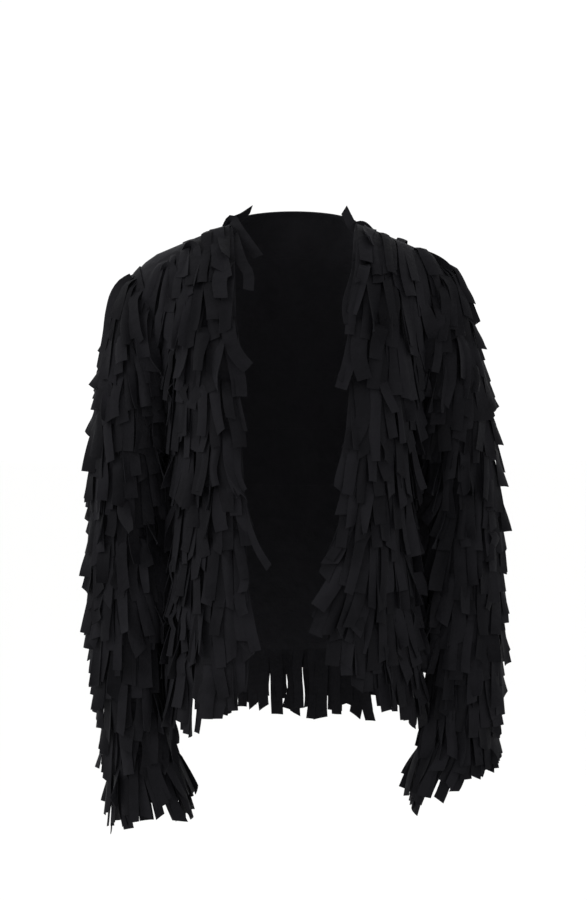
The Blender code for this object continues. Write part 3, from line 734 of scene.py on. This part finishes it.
def strip_grid(line, faces, over, strip, keep_clear):
    """One strip as a grid ALONG x ACROSS. Its middle line follows the falling line and leaves it as
    stand_off * share^0.8, plus most of what the cloth recedes from a plumb line. It sways as share^1.4, and
    its width turns about that line as it goes down."""
    share = np.linspace(0, 1, ALONG + 1)
    knots = np.arange(len(line)) * FALL_STEP
    here = along_line(strip.length * share, knots, line)
    facing = unit(along_line(strip.length * share, knots, faces))
    tangent = unit(np.gradient(here, axis=0))
    across = unit(np.cross(facing, tangent))
    across *= math.copysign(1, across[0] @ over)
    turn = strip.twist * 2 * math.pi * np.clip((share - TURN_START) / (1 - TURN_START), 0, 1) ** 1.3
    root = np.clip(share / ROOT, 0, 1)
    level = unit(facing * (1, 1, 0.001))
    recedes = np.clip(((here[0] - here) * level).sum(axis=1), 0, MOST_PLUMB)
    away = (
        TAPE_CLEARANCE
        + strip.layer * root
        + strip.stand_off * share**0.8
        + np.abs(np.sin(turn)) * strip.width * TURNED_LIFT
        + strip.loop * np.sin(np.clip(share / LOOP_END, 0, 1) * math.pi)
        + strip.curl * share**3
        + PLUMB * recedes
    )
    # The waves start where the strip's column puts them, so no two strips wave alike.
    wave = np.sin(share * math.pi) + 0.5 * np.sin(2 * math.pi * share + 9 * strip.column)
    aside = strip.sway * share**1.4 + strip.bend * wave * share**0.5
    middle = here + facing * away[:, None] + across * aside[:, None]
    tangent = unit(np.gradient(middle, axis=0))
    flat = unit(across - (across * tangent).sum(axis=1, keepdims=True) * tangent)
    face = np.cross(tangent, flat)
    face *= math.copysign(1, (face * facing).sum())
    width_way = flat * np.cos(turn)[:, None] + face * np.sin(turn)[:, None]
    face_way = face * np.cos(turn)[:, None] - flat * np.sin(turn)[:, None]
    step = np.linspace(-1, 1, ACROSS + 1)
    half_width = strip.width / 2 * (0.97 + 0.06 * np.sin(share * 3 + strip.column))
    grid = middle[:, None] + width_way[:, None] * (half_width[:, None] * step)[..., None]
    hollow = 1 - step**2 + 0.35 * step * np.sin(share[:, None] * 4 + strip.column)
    grid = grid + face_way[:, None] * (strip.cup * root[:, None] * hollow)[..., None]
    return keep_clear(grid + slanted_end(strip, share, step, tangent))


def slanted_end(strip, share, step, tangent):
    """How the points of a strip move along it where its end is cut off aslant."""
    return tangent[:, None] * (strip.slant * share[:, None] ** 6 * step * strip.width)[..., None]


def tape_grid(panel, tape, tape_rows, columns):
    """The band's top: a strip of the panel's own surface, one clearance off it."""
    column = np.linspace(*columns, int(round((columns[1] - columns[0]) * FINER)) + 1)
    last_row = hem_row(panel)
    grid = []
    for r in np.linspace(tape.row, tape.row + tape_rows + TAPE_TUCK, 4):
        rows = np.minimum(r + tape.slope * column, last_row)
        place, facing = on_panel(panel, rows, column)
        grid.append(place - (0, 0, max(0.0, r - last_row) * ROW_BELOW_HEM) + facing * TAPE_CLEARANCE)
    return np.stack(grid)


def ribbons(name, grids):
    """Thin closed ribbons from grids of points: each face, the same a thickness behind it, and a rim."""
    rng = np.random.default_rng(len(grids))
    points, faces, uvs, shades = [], [], [], []
    offset = 0
    for grid in grids:
        rows, columns = grid.shape[:2]
        normals = unit(np.cross(np.gradient(grid, axis=1), np.gradient(grid, axis=0)))
        front = np.arange(rows * columns).reshape(rows, columns) + offset
        behind = front + rows * columns
        faces += [quads(front)[:, ::-1], quads(behind)]
        rim = np.concatenate([front[0, :-1], front[:-1, -1], front[-1, :0:-1], front[::-1, 0][:-1]])
        rim = np.append(rim, rim[0])
        faces.append(quads(np.stack([rim, rim + rows * columns])))
        points += [grid.reshape(-1, 3), (grid - normals * STRIP_THICKNESS).reshape(-1, 3)]
        uvs += [flat_places(grid, UV_SHIFT * offset)] * 2
        shades.append(np.full(2 * rows * columns, rng.random()))
        offset += 2 * rows * columns
    faces, shades = np.concatenate(faces), np.concatenate(shades)
    return put_mesh(name, np.concatenate(points), faces, np.concatenate(uvs), shades)


def clear_of_sleeve(sections):
    """Moves strips of the body inwards where they would run into the sleeve beside them."""

    def keep_clear(points):
        height = np.clip(points[..., 2], sections[-1].outer_z, ARMPIT[1])
        inner = smooth_reading(sections, "inner_x", "outer_z", height)
        beside = (np.abs(points[..., 1]) < SLEEVE_HALF_DEPTH) & (points[..., 2] < ARMPIT[1] - BELOW_ARMPIT)
        room = np.where(beside, inner - SIDE_ROOM, 1.0)
        points[..., 0] = np.clip(points[..., 0], -room, room)
        return points

    return keep_clear


def clear_of_body(side):
    """Moves strips of a sleeve outwards where they would run into the side of the body."""

    def keep_clear(points):
        height = np.clip(points[..., 2], BODY_SECTIONS[-1].height, ARMPIT[1])
        half_width = smooth_reading(BODY_SECTIONS, "half_width", "height", height)
        share = np.clip(np.abs(points[..., 1]) / BODY_HALF_DEPTH, 0, 1)
        body = half_width * (1 - share**CHEST_ROUNDNESS) ** (1 / CHEST_ROUNDNESS)
        beside = (points[..., 2] < ARMPIT[1]) & (points[..., 2] > BACK_HEM)
        least = np.where(beside, body + SIDE_ROOM, 0.0)
        points[..., 0] = side * np.maximum(side * points[..., 0], least)
        return points

    return keep_clear


def hang_tier(panel, number, tape, tape_rows, columns, length, way, keep_clear, seed, density=1.0):
    """One tier: its tape, and three layers of strips, each freer than the one under it. way(column) gives
    the manner in which strips hang there, and keep_clear moves their points out of what is beside them."""
    rng = np.random.default_rng(seed)
    strip_row = tape.row + tape_rows
    last_row = hem_row(panel)
    fine = np.linspace(*columns, 120)
    places = at_places(panel, panel.points, np.minimum(strip_row + tape.slope * fine, last_row), fine)
    along = distances(places[:, None], 0)
    strips = []
    for layer in LAYERS:
        count = max(int(round(along[-1] / layer.pitch * density)), 1)
        for k in range(count):
            middle = (k + 0.5) * along[-1] / count + rng.normal(0, MIDDLE_SPREAD * layer.wander)
            width = STRIP_WIDTH * rng.uniform(*WIDTHS)
            middle = np.clip(middle, width / 2, along[-1] - width / 2)
            column = float(np.interp(middle, along, fine))
            manner = way(column)
            twist = rng.normal(0, TWIST_SPREAD)
            if rng.random() < max(layer.twisted, manner.turned):
                twist = rng.choice((-1, 1)) * rng.uniform(*TWISTS)
            cups = CURLED_CUPS if rng.random() < CURLED_SHARE else CUPS
            bowed = layer.lift > 0 and rng.random() < BOWED_SHARE
            lift = LEAST_LIFT + EVERY_OTHER_LIFT * (k % 2) + layer.lift
            loop_share = 1.0
            if manner.turned == TO_FRONT:
                twist = -FRONT_TWIST - FRONT_TWIST_SHARE * abs(twist)
                loop_share = FRONT_LOOP_SHARE
            strips.append(
                Strip(
                    column=column,
                    width=width,
                    length=length * manner.longer * rng.uniform(layer.shortest, layer.longest),
                    slant=rng.choice((0.0, 1.0)) * rng.uniform(*SLANTS),
                    layer=lift + rng.uniform(0, MOST_EXTRA_LIFT),
                    stand_off=TIP_STAND_OFF * manner.further * rng.uniform(*STAND_OFFS) * layer.stand_off,
                    sway=manner.sway + rng.normal(0, layer.wander),
                    bend=rng.normal(0, BEND_SPREAD),
                    twist=twist,
                    cup=rng.choice(CUP_WAYS) * rng.uniform(*cups),
                    loop=rng.uniform(*LOOPS) * loop_share if bowed else 0.0,
                    curl=rng.normal(CURL, CURL_SPREAD),
                )
            )
    hung_from = np.array([strip.column for strip in strips])
    roots = strip_row + tape.slope * hung_from
    lines, faces = falling_lines(panel, roots, hung_from, max(strip.length for strip in strips))
    steps = np.minimum(roots, last_row)
    beside = [at_places(panel, panel.points, steps, hung_from + aside) for aside in (0.1, -0.1)]
    over = beside[0] - beside[1]
    grids = [tape_grid(panel, tape, tape_rows, columns)]
    grids += [strip_grid(lines[k], faces[k], over[k], strip, keep_clear) for k, strip in enumerate(strips)]
    piece = ribbons(f"{panel.name}_fringe_tier_{number:02d}", grids)
    return dress(piece, fringe, f"{panel.name}_fringe_{number:02d}")


# The back's tiers
# Nine bands from side to side. The first starts below the shoulder seams, and the last hangs below the hem.
# The outer strips lean towards the arms, and beside the side seams most have turned.
SIDE_SWAY = 0.018
SIDE_SWAY_START = 0.6
SIDE_START = 0.82
TURNED_AT_SIDES = 0.75
TOP_MARGIN = 0.2
SIDE_MARGIN = 0.05
clear_of_left, clear_of_right = clear_of_sleeve(LEFT_SLEEVE), clear_of_sleeve(RIGHT_SLEEVE)


def across_back(column):
    from_middle = (column - HALF_BACK_COLUMNS) / HALF_BACK_COLUMNS
    leaning = max(0.0, abs(from_middle) - SIDE_SWAY_START) / (1 - SIDE_SWAY_START)
    turned = TURNED_AT_SIDES if abs(from_middle) > SIDE_START else 0.0
    return Manner(sway=SIDE_SWAY * math.copysign(leaning, from_middle), turned=turned)


back_fringe = []
for tier, tape in enumerate(BACK_TAPES, start=1):
    margin = SIDE_MARGIN if tape.row >= ARMHOLE_ROWS else TOP_MARGIN
    across = (margin, 2 * HALF_BACK_COLUMNS - margin)
    back_fringe.append(
        hang_tier(
            back, tier, tape, BODY_TAPE_ROWS, across, BODY_STRIP_LENGTH, across_back,
            lambda points: clear_of_left(clear_of_right(points)), 100 + tier,
        )
    )

# The fronts' tiers
# Nine bands each, from the open edge to the side seam. Beside the edge the strips swing past it,
# and in a few tiers they swing much further. The first band is closer to the cloth than the others.
FRONT_SIDE_SWAY = 0.017
FRONT_SWAY_START = 3.6
FRONT_SIDE_START = 5.4
FRONT_TOP_MARGIN = 0.15
EDGE_SWING = 0.011
EDGE_COLUMNS = 1.6
WIDE_SWING = 0.024
WIDE_COLUMNS = 2.8
FIRST_STAND_OFF = 0.6
Swing = namedtuple("Swing", "panel tier reach")
SWINGS = rows_of(
    Swing,
    ("right_front", 2, -0.004),
    ("right_front", 3, 0.014),
    ("right_front", 8, 0.019),
    ("right_front", 9, -0.002),
    ("left_front", 2, 0.018),
    ("left_front", 3, 0.020),
    ("left_front", 7, 0.028),
    ("left_front", 8, 0.040),
    ("left_front", 9, 0.004),
)
FrontHang = namedtuple("FrontHang", "tapes first_longer last_longer first_seed")
RIGHT_HANG = FrontHang(RIGHT_TAPES, 1.06, 1.12, 201)
LEFT_HANG = FrontHang(LEFT_TAPES, 1.12, 1.0, 301)


def hang_front(panel, sections, hang):
    """All the tiers of a front. The strips beside the side seam lean towards the arm."""
    reaches = {(s.panel, s.tier): s.reach for s in SWINGS}
    pieces = []
    for tier, tape in enumerate(hang.tapes, start=1):
        reach = reaches.get((panel.name, tier), EDGE_SWING)
        longer = hang.first_longer if tier == 1 else hang.last_longer if tier == len(hang.tapes) else 1.0
        further = FIRST_STAND_OFF if tier == 1 else 1.0
        spread = EDGE_COLUMNS if reach < WIDE_SWING else WIDE_COLUMNS

        def way(column, reach=reach, longer=longer, further=further, spread=spread):
            leaning = max(0.0, column - FRONT_SWAY_START) / (FRONT_COLUMNS - FRONT_SWAY_START)
            towards_opening = reach * max(0.0, 1 - column / spread)
            turned = TURNED_AT_SIDES if column > FRONT_SIDE_START else 0.0
            return Manner(FRONT_SIDE_SWAY * leaning - towards_opening, longer, further, turned)

        across = (0.0, FRONT_COLUMNS - (SIDE_MARGIN if tape.row >= ARMHOLE_ROWS else FRONT_TOP_MARGIN))
        pieces.append(
            hang_tier(
                panel, tier, tape, BODY_TAPE_ROWS, across, BODY_STRIP_LENGTH, way,
                clear_of_sleeve(sections), hang.first_seed + tier - 1,
            )
        )
    return pieces


right_front_fringe = hang_front(right_front, RIGHT_SLEEVE, RIGHT_HANG)
left_front_fringe = hang_front(left_front, LEFT_SLEEVE, LEFT_HANG)

# The sleeves' tiers
# Eleven bands round the outer side of each sleeve, and a whole one round the cuff whose strips are short
# on the outer side and flare towards the body. Columns are counted both ways from the sleeve's outer line.
TOP_FRINGE_COLUMNS = 4.2
SLEEVE_FRINGE_COLUMNS = 6.5
MORE_COLUMNS = 0.8
SLEEVE_SWAY = 0.010
LOW_SWAY_SHARE = 0.25
OUTLINE_SWAY = 0.006
OUTLINE_COLUMNS = 2.6
INNER_COLUMNS = 3.2
FACING_COLUMNS = (-1.3, 1.6)
OUTLINE_STAND_OFF = 0.85
FIRST_SLEEVE_LONGER = 1.04
FIRST_SLEEVE_STAND_OFF = 0.6
FIRST_STRAIGHT_TIER = 10
BESIDE_BODY = 4.4
BESIDE_BODY_STAND_OFF = 0.4
TURNED_START = 4.6
TURNED_BESIDE_BODY = 0.65
OVER_CUFF_STAND_OFF = 1.1
CUFF_SWAY = 0.024
CUFF_FLARE = 0.8
CUFF_DENSITY = 1.3
SleeveHang = namedtuple("SleeveHang", "tapes outer_length inner_length flare first_seed")
RIGHT_SLEEVE_HANG = SleeveHang(RIGHT_SLEEVE_TAPES, 0.091, 0.082, 2.6, 401)
LEFT_SLEEVE_HANG = SleeveHang(LEFT_SLEEVE_TAPES, 0.036, 0.092, 2.8, 501)


def round_arm(tier, column):
    """Strips on the outline sway out and face the front, and those near the body lean in and have turned."""
    from_outer = abs(column)
    sway = SLEEVE_SWAY if tier < FIRST_STRAIGHT_TIER else LOW_SWAY_SHARE * SLEEVE_SWAY
    towards_body = sway * max(0.0, from_outer - OUTLINE_COLUMNS) / INNER_COLUMNS
    outwards = OUTLINE_SWAY * math.sin(math.pi * min(from_outer, OUTLINE_COLUMNS) / OUTLINE_COLUMNS)
    further = OVER_CUFF_STAND_OFF if tier == SLEEVE_TIERS - 1 else 1.0
    if tier >= FIRST_STRAIGHT_TIER and from_outer > BESIDE_BODY:
        further = BESIDE_BODY_STAND_OFF
    turned = TURNED_BESIDE_BODY if from_outer > TURNED_START else 0.0
    if FACING_COLUMNS[0] < column < FACING_COLUMNS[1]:
        turned = TO_FRONT
        further = FIRST_SLEEVE_STAND_OFF if tier == 1 else OUTLINE_STAND_OFF
    longer = FIRST_SLEEVE_LONGER if tier == 1 else 1.0
    return Manner(math.copysign(towards_body - outwards, column), longer, further, turned)


def round_cuff(hang, column):
    """The cuff's strips go from the outer length to the inner one, and flare out towards the body."""
    angle = 2 * math.pi * column / SLEEVE_COLUMNS
    towards_body = (1 - math.cos(angle)) / 2
    length = hang.outer_length + (hang.inner_length - hang.outer_length) * towards_body
    aside = CUFF_SWAY * math.sin(angle) * towards_body**0.5
    further = CUFF_FLARE + (hang.flare - CUFF_FLARE) * towards_body**1.5
    return Manner(aside, length / hang.inner_length, further)


def hang_sleeve(panel, hang, side):
    """All the tiers of a sleeve, each a little further round it than the one above."""
    clear = clear_of_body(side)
    pieces = []
    for tier, tape in enumerate(hang.tapes[:-1], start=1):
        reach = min(SLEEVE_FRINGE_COLUMNS, TOP_FRINGE_COLUMNS + MORE_COLUMNS * (tier - 1))
        pieces.append(
            hang_tier(
                panel, tier, tape, SLEEVE_TAPE_ROWS, (-reach, reach), SLEEVE_STRIP_LENGTH,
                lambda column: round_arm(tier, column), clear, hang.first_seed + tier - 1,
            )
        )
    cuff = hang_tier(
        panel, SLEEVE_TIERS, hang.tapes[-1], CUFF_TAPE_ROWS, (0, SLEEVE_COLUMNS), hang.inner_length,
        lambda column: round_cuff(hang, column), clear, hang.first_seed + SLEEVE_TIERS - 1, CUFF_DENSITY,
    )
    return pieces + [cuff]


right_sleeve_fringe = hang_sleeve(right_sleeve, RIGHT_SLEEVE_HANG, -1)
left_sleeve_fringe = hang_sleeve(left_sleeve, LEFT_SLEEVE_HANG, 1)

# Loose strips
# A few strips of the first bands have worked out over the others: a crossed pair and an end that stands up
# at the right of the neck, a folded end at its left, five on the shoulders, and one at the right edge.
# A strip's twist is in turns, at its root and at its tip, and its route is a few places from root to tip.
LooseStrip = namedtuple("LooseStrip", "name panel width twist slant route")
LOOSE_STRIPS = rows_of(
    LooseStrip,
    (
        "neck_strip_crossing", "right_front", 0.0128, (0.00, 0.02), 0.15,
        ((-0.085, -0.006, -0.005), (-0.079, -0.013, 0.005), (-0.069, -0.030, -0.008),
         (-0.044, -0.056, -0.043)),
    ),
    (
        "neck_strip_behind", "right_front", 0.0135, (0.02, -0.03), 0.05,
        ((-0.076, -0.035, -0.015), (-0.070, -0.064, -0.033), (-0.064, -0.076, -0.050),
         (-0.056, -0.086, -0.065), (-0.056, -0.096, -0.085)),
    ),
    (
        "neck_strip_standing", "right_front", 0.0110, (0.05, 0.17), 0.35,
        ((-0.083, -0.008, -0.006), (-0.077, -0.009, 0.004), (-0.066, -0.007, 0.010), (-0.054, -0.005, 0.019)),
    ),
    (
        "neck_strip_folded", "left_front", 0.0120, (0.03, -0.08), -0.25,
        ((0.098, -0.008, -0.011), (0.087, -0.011, -0.002), (0.076, -0.012, -0.003),
         (0.0695, -0.010, 0.0075), (0.0645, -0.008, 0.018)),
    ),
    (
        "shoulder_strip_bowed", "right_sleeve", 0.0125, (0.07, 0.16), 0.30,
        ((-0.205, -0.018, -0.068), (-0.2165, -0.020, -0.0745), (-0.2265, -0.022, -0.088),
         (-0.233, -0.0235, -0.110), (-0.2375, -0.025, -0.140), (-0.247, -0.026, -0.185)),
    ),
    (
        "shoulder_strip_arched_1", "right_front", 0.0110, (0.10, 0.03), -0.20,
        ((-0.136, -0.045, -0.035), (-0.130, -0.054, -0.0275), (-0.1225, -0.064, -0.030),
         (-0.1195, -0.076, -0.045), (-0.1205, -0.090, -0.070)),
    ),
    (
        "shoulder_strip_arched_2", "right_front", 0.0105, (0.10, -0.03), 0.25,
        ((-0.164, -0.052, -0.064), (-0.159, -0.060, -0.054), (-0.152, -0.068, -0.0555),
         (-0.1495, -0.077, -0.070), (-0.152, -0.086, -0.096)),
    ),
    (
        "shoulder_strip_lying", "left_sleeve", 0.0130, (0.06, 0.04), 0.30,
        ((0.169, -0.019, -0.0405), (0.179, -0.0205, -0.045), (0.189, -0.0225, -0.0515),
         (0.1975, -0.024, -0.060)),
    ),
    (
        "shoulder_strip_lower", "left_sleeve", 0.0130, (0.03, -0.05), -0.10,
        ((0.210, -0.017, -0.074), (0.218, -0.019, -0.092), (0.225, -0.020, -0.110), (0.232, -0.0205, -0.127)),
    ),
    (
        "edge_strip_stray", "right_front", 0.0100, (0.16, 0.02), -0.20,
        ((-0.060, -0.122, -0.350), (-0.053, -0.127, -0.380), (-0.043, -0.130, -0.405),
         (-0.030, -0.132, -0.426)),
    ),
)
ROUTE_STEPS = 18
Stop = namedtuple("Stop", "length x y z")


def loose_grid(strip):
    """A strip along a smooth curve through its route. Its width is level, then turned about the curve."""
    knots = distances(np.array(strip.route)[:, None], 0)
    at = np.linspace(0, knots[-1], ROUTE_STEPS + 1)
    stops = [Stop(length, *place) for length, place in zip(knots, strip.route)]
    middle = np.stack([smooth_reading(stops, key, "length", at) for key in ("x", "y", "z")], axis=-1)
    tangent = unit(np.gradient(middle, axis=0))
    face = unit(np.array((0.0, -1.0, 0.0)) - tangent * (tangent @ (0.0, -1.0, 0.0))[:, None])
    flat = np.cross(face, tangent)
    share = np.linspace(0, 1, ROUTE_STEPS + 1)
    turn = (strip.twist[0] + (strip.twist[1] - strip.twist[0]) * share) * 2 * math.pi
    width_way = flat * np.cos(turn)[:, None] + face * np.sin(turn)[:, None]
    step = np.linspace(-1, 1, ACROSS + 1)
    grid = middle[:, None] + width_way[:, None] * (strip.width / 2 * step)[None, :, None]
    return grid + slanted_end(strip, share, step, tangent)


loose = {}
for strip in LOOSE_STRIPS:
    piece = dress(ribbons(strip.name, [loose_grid(strip)]), fringe)
    loose.setdefault(strip.panel, []).append(piece)

# Stitches and seam allowances
# A row of straight stitches in matt black thread holds each tape, and it shows on the bare inside.
# The shoulder and side seams are overlocked, and their allowances lie flat on the inside of the back.
STITCH_PITCH = 0.0036
STITCH_LENGTH = 0.0027
THREAD = 0.0006
STITCH_MARGIN = 0.15
ABOVE_HEM = 0.1
ALLOWANCE_COLUMNS = 0.40
ALLOWANCE_ROWS = 0.30
ALLOWANCE_LIFT = (0.0003, 0.0016)
thread = knit_material("black_thread", (0.0070, 0.0068, 0.0078), (0.0130, 0.0126, 0.0142), 0.52, 0.030)

# A stitch is four rings of four points: how far along it they are, and their share of the thread's width.
RING_PLACES = np.array((0.0, 0.22, 0.78, 1.0))
RING_WIDTHS = np.array((0.1, 1.0, 1.0, 0.1))


def sewing_line(panel, tape, tape_rows, columns):
    """Stitches along a tape's middle on the panel's inner face, each four rings of four points."""
    fine = np.linspace(*columns, 600)
    rows = np.minimum(tape.row + tape_rows / 2 + tape.slope * fine, hem_row(panel) - ABOVE_HEM)
    places, facing = on_panel(panel, rows, fine)
    places = places - facing * CLOTH
    along = distances(places[:, None], 0)
    starts = np.arange(STITCH_PITCH / 2, along[-1] - STITCH_PITCH, STITCH_PITCH)
    at = starts[:, None] + STITCH_LENGTH * RING_PLACES
    middle = along_line(at, along, places)
    inward = -unit(along_line(at, along, facing))
    side = np.cross(unit(middle[:, -1:] - middle[:, :1]), inward)
    radius = RING_WIDTHS[None, :, None, None] * THREAD / 2
    turn = np.arange(4) * math.pi / 2
    ring = inward[:, :, None] * np.cos(turn)[:, None] + side[:, :, None] * np.sin(turn)[:, None]
    return middle[:, :, None] + ring * radius


def sew_tapes(panel, tapes, tape_rows, columns):
    """All the stitches of one panel as one piece."""
    rings = np.concatenate([sewing_line(panel, tape, tape_rows, columns) for tape in tapes])
    faces = []
    for stitch in np.arange(rings.shape[0] * 16).reshape(-1, 4, 4):
        faces.append(quads(np.concatenate([stitch, stitch[:, :1]], axis=1)))
        faces.append(np.stack([stitch[0], stitch[-1, ::-1]]))
    points = rings.reshape(-1, 3)
    piece = put_mesh(f"{panel.name}_stitches", points, np.concatenate(faces), points[:, ::2])
    return dress(piece, thread)


def allowance_grid(panel, rows, columns):
    """A flap on the inner face of a panel: it follows rows x columns and lifts a little at its free edge."""
    row, column = np.broadcast_arrays(rows, columns)
    place, facing = on_panel(panel, row.ravel(), column.ravel())
    lift = np.tile(np.linspace(*ALLOWANCE_LIFT, row.shape[1]), row.shape[0])[:, None]
    return (place - facing * (CLOTH + lift)).reshape(*row.shape, 3)


all_columns = (STITCH_MARGIN, 2 * HALF_BACK_COLUMNS - STITCH_MARGIN)
front_columns = (STITCH_MARGIN, FRONT_COLUMNS - STITCH_MARGIN)
round_sleeve = (0, SLEEVE_COLUMNS)
stitches = {}
for worn, tapes, tape_rows, columns in (
    (back_as_worn, BACK_TAPES, BODY_TAPE_ROWS, all_columns),
    (right_front_as_worn, RIGHT_TAPES, BODY_TAPE_ROWS, front_columns),
    (left_front_as_worn, LEFT_TAPES, BODY_TAPE_ROWS, front_columns),
    (right_sleeve_as_worn, RIGHT_SLEEVE_TAPES, SLEEVE_TAPE_ROWS, round_sleeve),
    (left_sleeve_as_worn, LEFT_SLEEVE_TAPES, SLEEVE_TAPE_ROWS, round_sleeve),
):
    stitches[worn.name] = sew_tapes(worn, tapes, tape_rows, columns)

side_rows = np.linspace(ARMHOLE_ROWS + 0.1, ARMHOLE_ROWS + SKIRT_ROWS - 0.05, 41)[:, None]
side_columns = np.linspace(0.02, ALLOWANCE_COLUMNS, 4)[None]
shoulder_rows = np.linspace(0.03, ALLOWANCE_ROWS, 4)[None]
shoulder_columns = np.linspace(0.1, HALF_BACK_COLUMNS - NECK_COLUMNS - 0.05, 21)[:, None]
flaps = []
for edge, inward in ((0, 1), (2 * HALF_BACK_COLUMNS, -1)):
    flaps.append(allowance_grid(back_as_worn, side_rows, edge + inward * side_columns))
    flaps.append(allowance_grid(back_as_worn, shoulder_rows, edge + inward * shoulder_columns))
seam_allowances = dress(ribbons("seam_allowances", flaps), knit)

# What was cut
# The flat size of each panel before it was sewn, with the fringe that it carries.
Cut = namedtuple("Cut", "name cloth fringe width length area")
CUTS = rows_of(
    Cut,
    ("back", back_cloth, back_fringe, 0.44, 0.59, 0.231),
    ("right_front", right_front_cloth, right_front_fringe, 0.19, 0.57, 0.083),
    ("left_front", left_front_cloth, left_front_fringe, 0.21, 0.57, 0.081),
    ("right_sleeve", right_sleeve_cloth, right_sleeve_fringe, 0.36, 0.66, 0.163),
    ("left_sleeve", left_sleeve_cloth, left_sleeve_fringe, 0.36, 0.66, 0.161),
)
for cut in CUTS:
    carried = cut.fringe + loose.get(cut.name, []) + [stitches[cut.name]]
    carried += [seam_allowances] if cut.name == "back" else []

# The studio
# A wide pale floor well below the jacket under an even white sky. The key lamp stands high on the picture's
# left, and weak ones fill from the right and from above.
FLOOR_Z = -2.00
FLOOR_REACH = 30.0
SKY_STRENGTH = 1.04
paper = bpy.data.materials.new("pale_paper")
paper.use_nodes = True
paper_shader = paper.node_tree.nodes["Principled BSDF"]
paper_shader.inputs["Roughness"].default_value = 0.9
paper_shader.inputs["Specular IOR Level"].default_value = 0.1
grain = shader_node(paper.node_tree, "TexNoise", {"Scale": 3}, {})["Fac"]
tone = colour_ramp(paper.node_tree, grain, (0, 1), ((0.955, 0.955, 0.950), (0.970, 0.970, 0.965)))
paper.node_tree.links.new(tone, paper_shader.inputs["Base Color"])

floor_way = np.linspace(-FLOOR_REACH, FLOOR_REACH, 7)
floor_x, floor_y = np.meshgrid(floor_way, floor_way)
floor_points = np.stack([floor_x, floor_y, np.full_like(floor_x, FLOOR_Z)], axis=-1).reshape(-1, 3)
floor_faces = quads(np.arange(floor_x.size).reshape(floor_x.shape))
floor = put_mesh("floor", floor_points, floor_faces, floor_points[:, :2])
floor.data.materials.append(paper)

world = bpy.data.worlds.new("studio")
world.use_nodes = True
world.node_tree.nodes["Background"].inputs["Color"].default_value = (1.0, 1.0, 1.0, 1)
world.node_tree.nodes["Background"].inputs["Strength"].default_value = SKY_STRENGTH
bpy.context.scene.world = world

SoftBox = namedtuple("SoftBox", "name place target size power")
SOFT_BOXES = rows_of(
    SoftBox,
    ("key", (-3.1, -1.5, 1.4), (0, 0, -0.35), 1.8, 58),
    ("fill", (2.4, -2.7, 0.3), (0, 0, -0.35), 2.0, 2),
    ("top", (0.0, -0.3, 2.0), (0, 0, -0.2), 1.8, 3),
)
for box in SOFT_BOXES:
    lamp = bpy.data.lights.new(box.name, "AREA")
    lamp.shape = "SQUARE"
    lamp.size = box.size
    lamp.energy = box.power
    holder = bpy.data.objects.new(box.name, lamp)
    place, target = np.array(box.place), np.array(box.target)
    away = unit(place - target)
    right = unit(np.cross((0.0, 0.0, 1.0), away))
    turned = np.eye(4)
    turned[:3] = np.stack([right, np.cross(away, right), away, place], axis=1)
    holder.matrix_world = Matrix(turned.tolist())
    bpy.context.scene.collection.objects.link(holder)

# The camera
# Straight in front, a little above the jacket's middle, with a long lens.
CAMERA_DISTANCE = 3.2
CAMERA_RISE = 3.0
LOOK_AT = (0.0, 0.0, -0.288)
PICTURE_HEIGHT = 1.152
SENSOR_HEIGHT = 36
camera_data = bpy.data.cameras.new("camera")
camera_data.sensor_fit = "VERTICAL"
camera_data.sensor_height = SENSOR_HEIGHT
camera_data.lens = SENSOR_HEIGHT * CAMERA_DISTANCE / PICTURE_HEIGHT
camera = bpy.data.objects.new("camera", camera_data)
rise = math.radians(CAMERA_RISE)
camera.location = (
    LOOK_AT[0],
    LOOK_AT[1] - CAMERA_DISTANCE * math.cos(rise),
    LOOK_AT[2] + CAMERA_DISTANCE * math.sin(rise),
)
camera.rotation_euler = (math.radians(90) - rise, 0, 0)
bpy.context.scene.collection.objects.link(camera)
bpy.context.scene.camera = camera
bpy.context.scene.view_settings.view_transform = "Standard"
